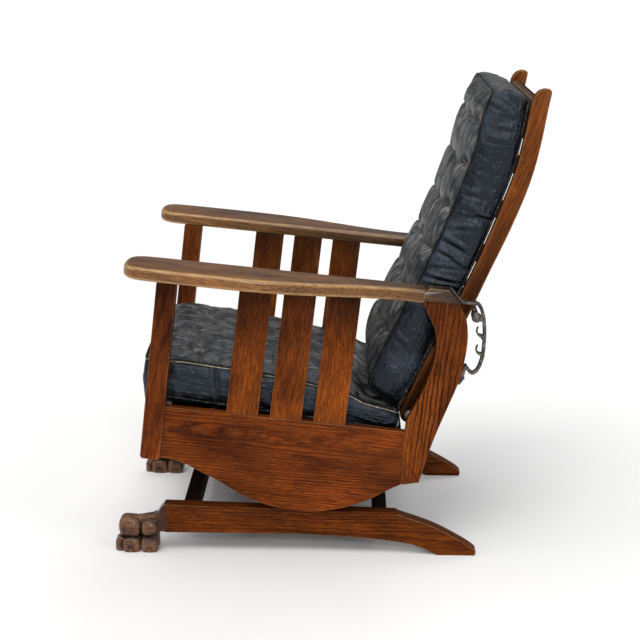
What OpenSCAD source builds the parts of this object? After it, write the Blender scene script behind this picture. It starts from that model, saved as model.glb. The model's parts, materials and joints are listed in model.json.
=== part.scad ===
// Oak platform rocker with a reclining back, carved paw feet and tufted leather cushions.
// Lengths are in millimetres. The chair faces -X and +Z is up. The origin lies on the floor,
// in the middle of the box that holds the whole chair. The sitter's left is the -Y side.

/* [Base] */
// Length of a runner from toe tip to heel tip
runner_len = 838; // [760:2:920]
// Thickness of a base rail
rail_thick = 37; // [32:1:44]
// Centre plane to the inner face of a base rail
rail_inner = 256; // [244:1:262]
// Floor to the straight underside of a rail
rail_clear = 48; // [38:1:60]
// Floor to the rail's top at its front end
rail_top_front = 116; // [108:1:126]
// Floor to the rail's top where the heel begins
rail_top_rear = 102; // [96:1:112]
// Length of a paw foot
paw_len = 115; // [100:1:130]
// Length of the tapering heel
heel_len = 188; // [170:1:205]
// Width of a cross rail
cross_w = 33; // [24:1:40]
// Height of a cross rail
cross_h = 42; // [30:1:50]

/* [Rocker] */
// Radius of the rocking edge
rocker_r = 328; // [300:1:350]
// Lean of the seat at rest, in degrees
seat_lean = 6.4; // [4:0.1:8]
// Middle of the runner to the centre of the rocking edge
rocker_x = 30; // [10:1:50]

/* [Side frame] */
// Thickness of a side panel
panel_thick = 22; // [18:1:26]
// Centre plane to the inner face of a side panel
panel_inner = 280; // [272:1:284]
// Height of the panel's top edge at the front post
panel_top_front = 212; // [200:1:225]
// Height of the panel's top edge at the rear post
panel_top_rear = 220; // [205:1:232]
// Height of the front post's foot above the rocking edge
post_foot = 90; // [80:1:100]
// Centre of the rocking edge to the front face of the front post
side_front = 361; // [345:1:375]
// Depth of the front post along the side
post_w = 45; // [40:1:54]
// Thickness of the front post across the chair
post_thick = 40; // [34:1:44]
// Width of an arm slat
arm_slat_w = 72; // [55:1:82]
// Thickness of an arm slat
arm_slat_thick = 22; // [16:1:24]
// Gap between two arm slats
arm_slat_gap = 27.5; // [20:0.5:34]
// Number of arm slats on a side
arm_slat_count = 3; // [2:1:3]
// Thickness of the rear post across the chair
rear_post_thick = 32; // [26:1:36]
// Height of the rear post's foot above the rocking edge
rear_post_foot = 104; // [96:1:112]
// Sweep of the rear post from its front edge to its furthest bulge
rear_post_sweep = 112; // [100:1:120]

/* [Arms] */
// Height of the arm's underside where the rear post starts
arm_height = 531; // [500:1:550]
// Slope of the arm along the seat, in degrees
arm_slope = 0.9; // [0:0.1:1.5]
// Thickness of an arm
arm_thick = 29; // [24:1:34]
// Greatest width of an arm
arm_w = 140; // [120:1:150]
// Reach of the arm in front of the front post
arm_overhang = 69; // [55:1:85]
// Length of the square tongue over the rear post
tongue_len = 86; // [80:1:92]
// Width of that tongue
tongue_w = 38; // [34:1:42]

/* [Seat] */
// Thickness of a seat rail
seat_rail_thick = 22; // [18:1:24]
// Height of a seat rail
seat_rail_h = 92; // [75:1:98]
// Height of a cleat under the seat slats
cleat_h = 32; // [24:1:40]
// Thickness of a cleat
cleat_thick = 22; // [18:1:24]
// Width of a seat slat
seat_slat_w = 92; // [60:1:98]
// Thickness of a seat slat
seat_slat_thick = 12; // [10:1:14]
// Drop of the slats below the panel's top edge
seat_drop = 8; // [4:1:12]

/* [Cushions] */
// Height of the seat cushion's upper seam at its front
seat_box_front = 107; // [96:1:110]
// Bulge of the seat cushion below its lower seam
seat_under = 22; // [14:1:26]
// Crown of the seat cushion above its upper seam
seat_crown = 31; // [18:1:34]
// Half of the seat cushion's width
seat_half_w = 262; // [250:1:263]
// Thickness of the back cushion between its seams
back_box = 94; // [84:1:98]
// Crown of the back cushion in front of its seams
back_crown = 27; // [14:1:30]
// Half of the back cushion's width
back_half_w = 238; // [225:1:246]
// Height of the back cushion's foot above the pivot
back_cushion_low = 14; // [12:1:24]
// Height of the back cushion's top above the pivot
back_cushion_high = 732; // [710:1:738]
// Depth of a sewn tuft
tuft_depth = 15; // [6:1:18]

/* [Back] */
// Height of the pivot above the rocking edge
pivot_z = 250; // [244:1:256]
// Centre of the rocking edge back to the pivot
pivot_x = 240; // [236:1:244]
// Height of the back above its pivot
stile_h = 769; // [720:1:800]
// Sweep of a stile from its pivot to its top
stile_sweep = 213; // [204:1:220]
// Thickness of a stile across the chair
stile_thick = 32; // [28:1:34]
// Centre plane to the outer face of a stile
stile_outer = 258; // [254:1:262]
// Height of a back slat
back_slat_h = 35; // [26:1:44]
// Thickness of a back slat
back_slat_thick = 12; // [10:1:14]
// Height of the crest rail
crest_h = 98; // [60:1:110]
// Diameter of a pivot pin
pin_d = 10; // [8:1:12]

/* [Support bar] */
// Diameter of the support bar
bar_d = 13; // [12:0.5:14]
// Drop of the bar below the arm's underside
bar_drop = 22; // [19:1:26]
// Diameter of a ball finial
finial_d = 23; // [20:1:26]
// Width of a ratchet bracket across the chair
bracket_w = 18; // [14:1:20]
// Thickness of the bracket's strap
strap_thick = 8; // [6:0.5:9]

/* [Springs] */
// Diameter of a spring's wire
wire_d = 5; // [4:0.5:5.5]
// Diameter of a spring through the wire's centre
coil_d = 30; // [26:1:32]
// Number of turns in a spring
coil_turns = 8; // [5:1:8]
// Height of a spring
coil_h = 110; // [100:1:116]

/* [Hidden] */

// Shared fits and clearances
run_gap = 0.3;
pin_gap = 0.2;
overrun = 5;
post_set_in = 6;
slat_set_in = 2;
front_post_set_in = 10;
round_fn = 48;
left = -1;
right = 1;
oak = "#7a4a22";
oak_dark = "#5c3118";
oak_pale = "#96683a";
leather = "#23262e";
iron = "#4a4640";

// Curves
function lerp(a, b, t) = a + (b - a) * t;
function curve_point(p, i, t) = let (last = len(p) - 1, a = p[max(i - 1, 0)], b = p[i],
    c = p[min(i + 1, last)], d = p[min(i + 2, last)])
    (2 * b + (c - a) * t + (2 * a - 5 * b + 4 * c - d) * t * t + (3 * b - a - 3 * c + d) * t * t * t) / 2;
function smooth(p, steps) = [for (i = [0:len(p) - 2]) for (k = [0:steps - 1]) curve_point(p, i, k / steps),
    p[len(p) - 1]];
function backwards(p) = [for (i = [len(p) - 1:-1:0]) p[i]];
// Reads x off an edge, given as [x, z] points that climb in z
function edge_x(p, z) = lookup(z, [for (q = p) [q[1], q[0]]]);
function edge_lean(p, z) = atan((edge_x(p, z + overrun) - edge_x(p, z - overrun)) / (2 * overrun));

// Base, measured from the runner's middle
toe_x = -runner_len / 2;
heel_x = runner_len / 2 - heel_len;
rail_front_x = toe_x + paw_len;
rail_slope = atan((rail_top_front - rail_top_rear) / (heel_x - rail_front_x));
function rail_top(x) = lerp(rail_top_front, rail_top_rear, (x - rail_front_x) / (heel_x - rail_front_x));
sole_len = 90;
arch_start_x = 11;
arch_shares = [[0, 1], [0.3, 0.91], [0.58, 0.76], [0.8, 0.55], [0.94, 0.22], [1, 0]];
heel_top_shares = [[0, 1], [0.06, 0.945], [0.3, 0.8], [0.54, 0.62], [0.79, 0.37], [0.93, 0.21], [1, 0.1]];
heel_end_share = 0.985;
sole_x = runner_len / 2 - sole_len;
arch = [for (s = smooth(arch_shares, 3)) [lerp(arch_start_x, sole_x, s[0]), rail_clear * s[1]]];
heel_top = [for (s = smooth(heel_top_shares, 3)) [heel_x + heel_len * s[0], rail_top_rear * s[1]]];
cross_front_inset = 43;
cross_rear_inset = 20;

// Paw foot
paw_body_thick = 46;
// Its outline in side view, from the rear of the sole round the toes to the top, as shares of its length
// and of the rail's height
sole_rear_share = 0.905;
paw_throat_share = 0.945;
paw_shares = [[0.03, 0], [0, 0.05], [0, 0.13], [0.07, 0.22], [0.15, 0.42], [0.24, 0.62], [0.33, 0.7], [0.53, 0.735],
    [0.74, 0.75], [0.84, 0.79], [0.92, 0.92], [1, 1]];
toe_r = 13;
knuckle_r = 14;
knuckle_rise_share = 0.44;
toe_sink_share = 0.8;
// Places of the toes along the paw, side by side on each flank
toe_shares = [0.33, 0.66];
knuckle_back_share = 0.03;
front_knuckle_share = 0.15;
front_toe_share = 0.13;
front_toe_spread = 12;

// Seat frame, measured from the centre of the rocking edge, with heights above its lowest point
rocker_z = rail_top(rocker_x) + (rocker_r + run_gap) / cos(rail_slope);
function world_x(p) = rocker_x + p[0] * cos(seat_lean) + (p[1] - rocker_r) * sin(seat_lean);

// Arms
arm_rear_x = 232;
arm_front_x = -side_front - arm_overhang;
arm_inner = panel_inner - post_set_in;
function arm_under(x) = arm_height + (x - arm_rear_x) * tan(arm_slope);
nose_len = 62;
nose_power = 0.72;
arm_width_shares = [[0.1, 0.985], [0.25, 1], [0.42, 0.99], [0.54, 0.92], [0.63, 0.82], [0.72, 0.69],
    [0.8, 0.58], [0.9, 0.49], [1, 0.45]];
arm_len = arm_rear_x - arm_front_x;
tongue_front_bevel = 13;
tongue_front_step = 9;
tongue_rear_bevel = 30;

// Rear post: its front and rear edges, as shares of its sweep and height
rear_post_x = 232;
rear_post_top = arm_under(rear_post_x);
post_front_shares = [[0.07, -0.024], [0.065, 0.02], [0.045, 0.1], [0.013, 0.19], [0.005, 0.31], [0.054, 0.37],
    [0.2, 0.463], [0.317, 0.566], [0.38, 0.653], [0.406, 0.727], [0.366, 0.81], [0.28, 0.868], [0.156, 0.918],
    [0.05, 0.966], [0.018, 1]];
post_rear_shares = [[0.415, 0], [0.435, 0.02], [0.485, 0.1], [0.55, 0.19], [0.656, 0.31], [0.72, 0.37],
    [0.817, 0.463], [0.924, 0.566], [0.973, 0.653], [0.998, 0.727], [0.996, 0.81], [0.964, 0.868], [0.915, 0.918],
    [0.81, 0.966], [0.728, 1]];
function post_edge(shares) = [for (s = smooth(shares, 2)) let (x = rear_post_x + rear_post_sweep * s[0])
    [x, s[1] == 1 ? arm_under(x) : lerp(rear_post_foot, rear_post_top, s[1])]];
post_front_edge = post_edge(post_front_shares);
post_rear_edge = post_edge(post_rear_shares);

// Side panel and front post
front_post_inner = panel_inner - front_post_set_in;
post_bevel = 5;
panel_x = post_w - side_front;
arc_front = 140;
arc_rear = 215;
arc_steps = 28;
function arc_z(x) = rocker_r - sqrt(rocker_r * rocker_r - x * x);
ogee_shares = [[0, 1], [0.16, 0.97], [0.29, 0.9], [0.53, 0.63], [0.8, 0.3], [1, 0]];
ogee = [for (s = smooth(ogee_shares, 3)) [lerp(panel_x, -arc_front, s[0]), lerp(arc_z(arc_front), post_foot, s[1])]];
arc = [for (i = [1:arc_steps - 1]) let (x = lerp(-arc_front, arc_rear, i / arc_steps)) [x, arc_z(x)]];
function panel_top(x) = lerp(panel_top_front, panel_top_rear, (x - panel_x) / (rear_post_x - panel_x));
panel_rear = [for (p = post_front_edge) if (p[1] < panel_top_rear) p];

// Arm slats: the rear edge of the last one, and the step from one to the next
arm_slat_rear_x = 95;
arm_slat_pitch = arm_slat_w + arm_slat_gap;
arm_slat_inner = panel_inner - slat_set_in;

// Seat
seat_slats = 5;
seat_top = panel_top_front - seat_drop;
cushion_base = seat_top + run_gap;
seat_rail_set = 18;
seat_front_rail_x = -side_front + seat_rail_set;
seat_rear_rail_x = 206;
cleat_front_x = panel_x;
seat_slat_inset = 10;
function seat_slat_x(i) = lerp(cleat_front_x + seat_slat_inset + seat_slat_w / 2,
    seat_rear_rail_x - seat_slat_inset - seat_slat_w / 2, i / (seat_slats - 1));

// Back frame: edges of a stile, as shares of its sweep and height
stile_rear_shares = [[0.107, 0], [0.329, 0.195], [0.5, 0.336], [0.64, 0.4626], [0.782, 0.586], [0.91, 0.723],
    [0.964, 0.833], [0.986, 0.9415], [1, 0.992]];
stile_front_shares = [[-0.107, 0], [0.135, 0.195], [0.39, 0.392], [0.543, 0.528], [0.684, 0.677],
    [0.755, 0.768], [0.79, 0.86], [0.815, 0.95]];
stile_top_shares = [[0.822, 0.967], [0.841, 0.982], [0.874, 0.994], [0.927, 1], [0.988, 1]];
function stile_points(shares) = [for (s = shares) [pivot_x + stile_sweep * s[0], pivot_z + stile_h * s[1]]];
stile_rear = stile_points(smooth(stile_rear_shares, 3));
stile_front = stile_points(smooth(stile_front_shares, 3));
stile_outline = concat(stile_front, stile_points(stile_top_shares), backwards(stile_rear));
stile_foot_r = 22;
stile_inner = stile_outer - stile_thick;
back_slat_first = 178;
back_slat_pitch = 104;
back_slat_let_in = 7;
back_slats = 5;
back_slat_end = 8;
function back_slat_z(i) = pivot_z + back_slat_first + back_slat_pitch * i;
crest_round = 16;
crest_drop = 24;
crest_thick = 34;
crest_set = 2;
crest_top = pivot_z + stile_h - crest_drop;
bottom_rail_h = 30;
bottom_rail_thick = 20;
bottom_rail_rise = 28;

// Where the whole chair ends, front and rear
rear_x = max([for (p = stile_outline) world_x(p)]);
middle_x = (toe_x + rear_x) / 2;

// Pivots
pivot_post_inner = panel_inner - post_set_in;
pin_depth = 20;
nut_thick = 6;
nut_r = 9;
spacer_r = 12;

// Support bar in the top hook, resting against the stiles
bar_r = bar_d / 2;
bar_z = arm_height - bar_drop;
bar_lean = edge_lean(stile_rear, bar_z);
bar_x = edge_x(stile_rear, bar_z) + (bar_r + run_gap) / cos(bar_lean);
bar_lift = 8;
bar_end_gap = 4;
finial_neck = 3;
finial_neck_r = 8;

// Ratchet brackets, with the strap's line as shares of its reach around the bar
bracket_set = 2;
bracket_mid = pivot_post_inner + rear_post_thick / 2 + bracket_set;
bracket_inner = bracket_mid - bracket_w / 2;
strap_out = 28.5;
strap_rise = 27;
strap_drop = 134;
strap_over_shares = [[-0.47, 0.96], [-0.1, 0.98], [0.24, 0.77], [0.53, 0.18]];
strap_down_shares = [[0.78, -0.15], [0.95, -0.4], [1, -0.66], [0.88, -0.84], [0.7, -0.95], [0.36, -1], [0.06, -0.96]];
hook2_back = 16.5;
hook2_drop = 36;
hook3_back = 21;
hook3_drop = 78;
cup_gap = 0.4;
cup_r = bar_r + cup_gap;
hook_wall = 3.4;
hook_tip = 1;
hook_gusset = 16;
foot_low = 165;
foot_high = 114;
foot_thick = 9;
screw_r = 2;
screw_len = 16;
screw_head_r = 4;
screw_head_h = 2.5;

// Springs between the rails and the panels, in pairs
spring_apart = 32;
spring_y = 229;
spring_plate = 5;
spring_plate_len = 112;
spring_plate_in = 208;
flange_h = 40;
spring_bottom = rail_top(rocker_x);
spring_top = spring_bottom + coil_h;
flange_screw_x = 42;
flange_screw_rise_share = 0.62;

// Places each piece in its own frame
module in_base() {
    translate([-middle_x, 0, 0]) children();
}

module in_seat() {
    translate([rocker_x - middle_x, 0, rocker_z]) rotate([0, seat_lean, 0]) translate([0, 0, -rocker_r]) children();
}

// A board drawn in side view and cut from one thickness
module board(points, inner, thick, side) {
    translate([0, side < 0 ? -inner : inner + thick, 0]) rotate([90, 0, 0]) linear_extrude(height = thick)
        polygon(points);
}

// A round bar across the chair, from one distance out to another
module across(x, z, from, to, r, side) {
    translate([x, side < 0 ? -from : to, z]) rotate([90, 0, 0]) cylinder(h = to - from, r = r, $fn = round_fn);
}

// Base
module base_rail(side) {
    outline = concat([[rail_front_x, rail_clear]], arch,
        [[heel_x + heel_len * heel_end_share, 0]], backwards(heel_top), [[rail_front_x, rail_top_front]]);
    color(oak) in_base() difference() {
        board(outline, rail_inner, rail_thick, side);
        for (k = [-1, 1]) lower_screw(k, side);
    }
}

module toe(x, y, lean) {
    hull() {
        translate([x, y, toe_r * toe_sink_share]) sphere(r = toe_r, $fn = 16);
        translate([x + lean, y, rail_top_front * knuckle_rise_share]) sphere(r = knuckle_r, $fn = 16);
    }
}

module paw_foot(side) {
    mid_y = rail_inner + rail_thick / 2;
    body_inner = mid_y - paw_body_thick / 2;
    outline = concat([[rail_front_x, rail_clear], [toe_x + paw_len * paw_throat_share, rail_clear],
        [toe_x + paw_len * sole_rear_share, 0]], [for (s = paw_shares) [toe_x + paw_len * s[0], rail_top_front * s[1]]]);
    color(oak_pale) in_base() difference() {
        union() {
            board(outline, body_inner, paw_body_thick, side);
            for (s = toe_shares) for (k = [-1, 1])
                toe(toe_x + paw_len * s, side * mid_y + k * (paw_body_thick / 2 - toe_r / 2), paw_len * knuckle_back_share);
            for (k = [-1, 1])
                toe(toe_x + paw_len * front_toe_share, side * mid_y + k * front_toe_spread, paw_len * front_knuckle_share);
        }
        translate([toe_x - overrun, side * mid_y - 2 * paw_body_thick, -4 * toe_r])
            cube([paw_len + 2 * overrun, 4 * paw_body_thick, 4 * toe_r]);
    }
}

module cross_rail(x) {
    top = rail_top(x + cross_w);
    color(oak_dark) in_base() translate([x, -rail_inner, top - cross_h]) cube([cross_w, 2 * rail_inner, cross_h]);
}

// Springs
function spring_path(h) = let (r = coil_d / 2, n = 8 * coil_turns, low = wire_d, high = h - wire_d)
    concat([[r, 0, 0]], [for (i = [0:n]) [r * cos(360 * coil_turns * i / n), r * sin(360 * coil_turns * i / n),
        lerp(low, high, i / n)]], [[r, 0, h]]);
function unit(v) = v / norm(v);
function path_dir(p, i) = i == 0 || i == len(p) - 1 ? [0, 0, 1]
    : unit(unit(p[i + 1] - p[i]) + unit(p[i] - p[i - 1]));
function tube_ring(p, i, r, sides) = let (t = path_dir(p, i), out = unit([p[i][0], p[i][1], 0]), u = unit(out - t * (out * t)),
    v = cross(t, u)) [for (k = [0:sides - 1]) p[i] + r * (u * cos(360 * k / sides) + v * sin(360 * k / sides))];

// Faces of a closed run of rings, all with the same number of points
function ring_faces(rings, sides) = concat(
    [for (i = [0:rings - 2]) for (k = [0:sides - 1]) let (a = i * sides + k, b = i * sides + (k + 1) % sides)
        [a, a + sides, b]],
    [for (i = [0:rings - 2]) for (k = [0:sides - 1]) let (a = i * sides + k, b = i * sides + (k + 1) % sides)
        [b, a + sides, b + sides]]);
function cap_faces(rings, sides) = let (low = rings * sides, high = low + 1, last = (rings - 1) * sides) concat(
    [for (k = [0:sides - 1]) [low, k, (k + 1) % sides]],
    [for (k = [0:sides - 1]) [high, last + (k + 1) % sides, last + k]]);

function self_gap(p, skip) = min([for (i = [0:len(p) - 1]) for (j = [i + skip:1:len(p) - 1]) norm(p[i] - p[j])]) - wire_d;
echo("spring_gap", self_gap(spring_path(coil_h), 5));

module spring(h) {
    path = spring_path(h);
    rings = len(path);
    sides = 6;
    points = concat([for (i = [0:rings - 1]) each tube_ring(path, i, wire_d / 2, sides)], [path[0], path[rings - 1]]);
    polyhedron(points = points, faces = concat(ring_faces(rings, sides), cap_faces(rings, sides)));
}

module rocker_springs(side) {
    color(iron) in_base() mirror([0, side < 0 ? 1 : 0, 0]) for (k = [-1, 1])
        translate([rocker_x + k * spring_apart, spring_y, spring_bottom]) spring(coil_h);
}

module lower_screw(k, side) {
    across(rocker_x + k * flange_screw_x, spring_bottom - flange_h * flange_screw_rise_share,
        rail_inner - spring_plate, rail_inner + screw_len, screw_r, side);
}

module upper_screw(k, side) {
    across(rocker_x + k * flange_screw_x, spring_top + flange_h * flange_screw_rise_share,
        panel_inner - spring_plate, panel_inner + screw_len, screw_r, side);
}

module spring_plate_box(z, low, high, outer, side) {
    translate([rocker_x - spring_plate_len / 2, side < 0 ? -outer : spring_plate_in, z])
        cube([spring_plate_len, outer - spring_plate_in, spring_plate]);
    translate([rocker_x - spring_plate_len / 2, side < 0 ? -outer : outer - spring_plate, low])
        cube([spring_plate_len, spring_plate, high - low]);
}

module spring_lower_bracket(side) {
    color(iron) in_base() difference() {
        spring_plate_box(spring_bottom - spring_plate, spring_bottom - flange_h, spring_bottom, rail_inner, side);
        for (k = [-1, 1]) lower_screw(k, side);
    }
}

module spring_upper_bracket(side) {
    color(iron) in_base() difference() {
        spring_plate_box(spring_top, spring_top, spring_top + flange_h, panel_inner, side);
        for (k = [-1, 1]) upper_screw(k, side);
    }
}

module spring_lower_screws() {
    color(iron) in_base() for (side = [left, right]) for (k = [-1, 1]) {
        lower_screw(k, side);
        across(rocker_x + k * flange_screw_x, spring_bottom - flange_h * flange_screw_rise_share,
            rail_inner - spring_plate - screw_head_h, rail_inner - spring_plate, screw_head_r, side);
    }
}

module spring_upper_screws() {
    color(iron) in_base() for (side = [left, right]) for (k = [-1, 1]) {
        upper_screw(k, side);
        across(rocker_x + k * flange_screw_x, spring_top + flange_h * flange_screw_rise_share,
            panel_inner - spring_plate - screw_head_h, panel_inner - spring_plate, screw_head_r, side);
    }
}

// Side frame
module side_panel(side) {
    outline = concat([[panel_x, panel_top_front]], ogee, arc, panel_rear,
        [[edge_x(post_front_edge, panel_top_rear), panel_top_rear]]);
    color(oak) difference() {
        in_seat() board(outline, panel_inner, panel_thick, side);
        in_base() for (k = [-1, 1]) upper_screw(k, side);
    }
}

module front_post(side) {
    x = -side_front;
    outline = [[x + post_bevel, post_foot - post_bevel], [x + post_w - post_bevel, post_foot - post_bevel],
        [x + post_w, post_foot],
        [x + post_w, arm_under(x + post_w)], [x, arm_under(x)], [x, post_foot]];
    color(oak) in_seat() board(outline, front_post_inner, post_thick, side);
}

module rear_post(side) {
    outline = concat(post_front_edge, backwards(post_rear_edge));
    color(oak) in_seat() difference() {
        board(outline, pivot_post_inner, rear_post_thick, side);
        across(pivot_x, pivot_z, pivot_post_inner - overrun, pivot_post_inner + pin_depth, pin_d / 2, side);
        foot_screw(side);
    }
}

module arm_slats(side) {
    color(oak) in_seat() for (i = [0:arm_slat_count - 1]) {
        rear = arm_slat_rear_x - i * arm_slat_pitch;
        front = rear - arm_slat_w;
        board([[front, panel_top(front)], [rear, panel_top(rear)], [rear, arm_under(rear)], [front, arm_under(front)]],
            arm_slat_inner, arm_slat_thick, side);
    }
}

// Arms
function arm_out(share) = arm_w * lookup(share, smooth(arm_width_shares, 3));
nose_points = [for (a = [-90:15:75]) let (half = arm_out(arm_width_shares[0][0]) / 2)
    [-arm_len + nose_len - nose_len * pow(cos(a), nose_power), half + half * sign(a) * pow(abs(sin(a)), nose_power)]];
arm_outline = concat(nose_points, [for (s = smooth(arm_width_shares, 3)) [arm_len * (s[0] - 1), arm_w * s[1]]], [[0, 0]]);

module arm(side) {
    tongue_end = arm_rear_x + tongue_len;
    root = arm_rear_x - overrun;
    tongue = [[root, arm_under(root)], [tongue_end, arm_under(tongue_end)],
        [tongue_end - tongue_rear_bevel, arm_under(tongue_end) + arm_thick],
        [arm_rear_x + tongue_front_bevel, arm_under(arm_rear_x) + arm_thick],
        [arm_rear_x, arm_under(arm_rear_x) + arm_thick - tongue_front_step],
        [root, arm_under(root) + arm_thick - tongue_front_step]];
    color(oak_pale) in_seat() difference() {
        union() {
            translate([arm_rear_x, 0, arm_height]) rotate([0, -arm_slope, 0]) mirror([0, side < 0 ? 1 : 0, 0])
                translate([0, arm_inner, 0]) linear_extrude(height = arm_thick) polygon(arm_outline);
            board(tongue, arm_inner, tongue_w, side);
        }
        strap_screw(side);
    }
}

// Seat
module seat_front_rail() {
    color(oak) in_seat() translate([seat_front_rail_x, -front_post_inner, seat_top - seat_rail_h])
        cube([seat_rail_thick, 2 * front_post_inner, seat_rail_h]);
}

module seat_rear_rail() {
    color(oak_dark) in_seat() translate([seat_rear_rail_x, -panel_inner, seat_top - seat_rail_h])
        cube([seat_rail_thick, 2 * panel_inner, seat_rail_h]);
}

module seat_cleat(side) {
    z = seat_top - seat_slat_thick;
    board([[cleat_front_x, z - cleat_h], [seat_rear_rail_x, z - cleat_h], [seat_rear_rail_x, z], [cleat_front_x, z]],
        panel_inner - cleat_thick, cleat_thick, side);
}

module seat_slat(i) {
    color(oak_dark) in_seat() translate([seat_slat_x(i) - seat_slat_w / 2, -panel_inner, seat_top - seat_slat_thick])
        cube([seat_slat_w, 2 * panel_inner, seat_slat_thick]);
}

// Cushions: rings of points around each, with its face, two boxed sides and its rear
face_steps = 22;
side_steps = 3;
rear_steps = 4;
ring_shares = concat([for (i = [0:face_steps]) [2 * i / face_steps - 1, 1]],
    [for (i = [1:side_steps]) [1, 1 - i / (side_steps + 1)]],
    [for (i = [0:rear_steps]) [1 - 2 * i / rear_steps, 0]],
    [for (i = [1:side_steps]) [-1, i / (side_steps + 1)]]);
side_puff = 5;
tuft_spread = 26;
cushion_rings = 32;
end_narrow_share = 0.035;
end_thin_share = 0.07;

// Depth of the sewn tufts at a point of the face: rows of them, each row set half a step aside
function tufts(x, y, places) = min(1, max([for (p = places) exp(-pow(norm([x, y] - p) / tuft_spread, 2))]));
function tuft_places(first, last, rows, half, across_count) = [for (i = [0:rows - 1])
    let (count = across_count - i % 2) for (k = [0:count - 1])
    [lerp(first, last, i / (rows - 1)), half * (2 * k - count + 1) / across_count]];

// A ring at share s along the cushion, around the point at, with out pointing from rear to face.
// The crown swells its face and the under bulge its rear.
function cushion_ring(at, out, s, along, half, box, crown, under, places) =
    let (ends = 1 - pow(abs(2 * s - 1), 6), w = half * (1 - end_narrow_share * (1 - ends)),
        t = box * (1 - end_thin_share * (1 - ends)))
    [for (q = ring_shares) let (face = q[1] == 1, rear = q[1] == 0, y = q[0] * w, swell = 1 - pow(q[0], rear ? 8 : 4),
        puff = abs(q[0]) == 1 ? side_puff * sign(q[0]) * sin(180 * q[1]) : 0,
        rise = face ? crown * swell - tuft_depth * tufts(along, y, places) * ends : rear ? -under * swell : 0)
        [at[0] + out[0] * (q[1] * t + rise), y + puff, at[1] + out[1] * (q[1] * t + rise)]];

module cushion(rings, low_cap, high_cap) {
    sides = len(ring_shares);
    count = len(rings);
    points = concat([for (r = rings) each r], [low_cap, high_cap]);
    polyhedron(points = points, faces = concat(ring_faces(count, sides), cap_faces(count, sides)));
}

// Seat cushion, with stations from front to rear
seat_cushion_reach = 6;
seat_cushion_front = -side_front - seat_cushion_reach;
seat_cushion_rear = 214;
seat_nose_puff = 5;
seat_nose_lean_share = 0.09;
seat_tuft_front = 100;
seat_tuft_rear = 175;
// Heights of the upper seam, the lower seam and the crown along the cushion, as shares of those at its front
seat_seam_shares = [[0, 1], [0.35, 0.96], [0.62, 0.85], [0.83, 0.68], [1, 0.54]];
seat_under_shares = [[0, 1], [0.35, 0.75], [1, 0.3]];
seat_crown_shares = [[0, 0.3], [0.05, 0.75], [0.14, 1], [0.6, 0.95], [0.8, 0.7], [0.86, 0.22], [0.9, 0], [1, 0]];
function seat_station(s) = lerp(seat_cushion_front, seat_cushion_rear, s);
function seat_share(shares, s) = lookup(s, smooth(shares, 4));
seat_tufts = tuft_places(seat_cushion_front + seat_tuft_front, seat_cushion_rear - seat_tuft_rear, 4, seat_half_w, 4);

module seat_cushion() {
    rings = [for (i = [0:cushion_rings]) let (s = i / cushion_rings, x = seat_station(s),
        under = seat_under * seat_share(seat_under_shares, s),
        box = seat_box_front * seat_share(seat_seam_shares, s) - under)
        cushion_ring([x, cushion_base + under], [-seat_nose_lean_share * pow(1 - s, 4), 1], s, x, seat_half_w, box,
            seat_crown * seat_share(seat_crown_shares, s), under, seat_tufts)];
    color(leather) in_seat() cushion(rings, [seat_cushion_front - seat_nose_puff, 0, cushion_base + seat_box_front / 2],
        [seat_cushion_rear, 0, cushion_base + seat_box_front / 4]);
}

// Back cushion, with stations from bottom to top along the front of the stiles
back_rest_gap = back_slat_thick - back_slat_let_in + run_gap;
back_top_puff = 9;
back_tuft_low = 130;
back_tuft_high = 640;
back_lean_least = 12;
back_toe_share = 0.1;
back_toe_thin_share = 0.05;
function back_station(s) = pivot_z + lerp(back_cushion_low, back_cushion_high, s);
function back_box_at(s) = back_box * (s < back_toe_share ? 1 - back_toe_thin_share * (1 - sin(90 * s / back_toe_share)) : 1);
back_tufts = tuft_places(pivot_z + back_tuft_low, pivot_z + back_tuft_high, 7, back_half_w, 4);

module back_cushion() {
    rings = [for (i = [0:cushion_rings]) let (s = i / cushion_rings, z = back_station(s),
        a = max(back_lean_least, edge_lean(stile_front, z)), out = [-cos(a), sin(a)],
        x = edge_x(stile_front, z))
        cushion_ring([x, z] + out * back_rest_gap, out, s, z, back_half_w, back_box_at(s),
            back_crown * (1 - pow(abs(2 * s - 1), 8)), 0, back_tufts)];
    first = rings[0];
    last = rings[cushion_rings];
    mid = floor(face_steps / 2);
    rear_mid = face_steps + 1 + side_steps + rear_steps / 2;
    color(leather) in_seat() cushion(rings, (first[mid] + first[rear_mid]) / 2,
        (last[mid] + last[rear_mid]) / 2 + [0, 0, back_top_puff]);
}

// Back frame
module slat_board(i) {
    z = back_slat_z(i);
    lean = edge_lean(stile_front, z);
    translate([edge_x(stile_front, z), 0, z]) rotate([0, lean, 0])
        translate([back_slat_let_in - back_slat_thick, back_slat_end - stile_outer, -back_slat_h / 2])
        cube([back_slat_thick, 2 * (stile_outer - back_slat_end), back_slat_h]);
}

module back_stile(side) {
    color(oak) in_seat() difference() {
        union() {
            board(stile_outline, stile_inner, stile_thick, side);
            across(pivot_x, pivot_z, stile_inner, stile_outer, stile_foot_r, side);
        }
        across(pivot_x, pivot_z, stile_inner - overrun, stile_outer + overrun, pin_d / 2 + pin_gap, side);
        for (i = [0:back_slats - 1]) slat_board(i);
    }
}

module back_slat(i) {
    color(oak_dark) in_seat() slat_board(i);
}

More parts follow.
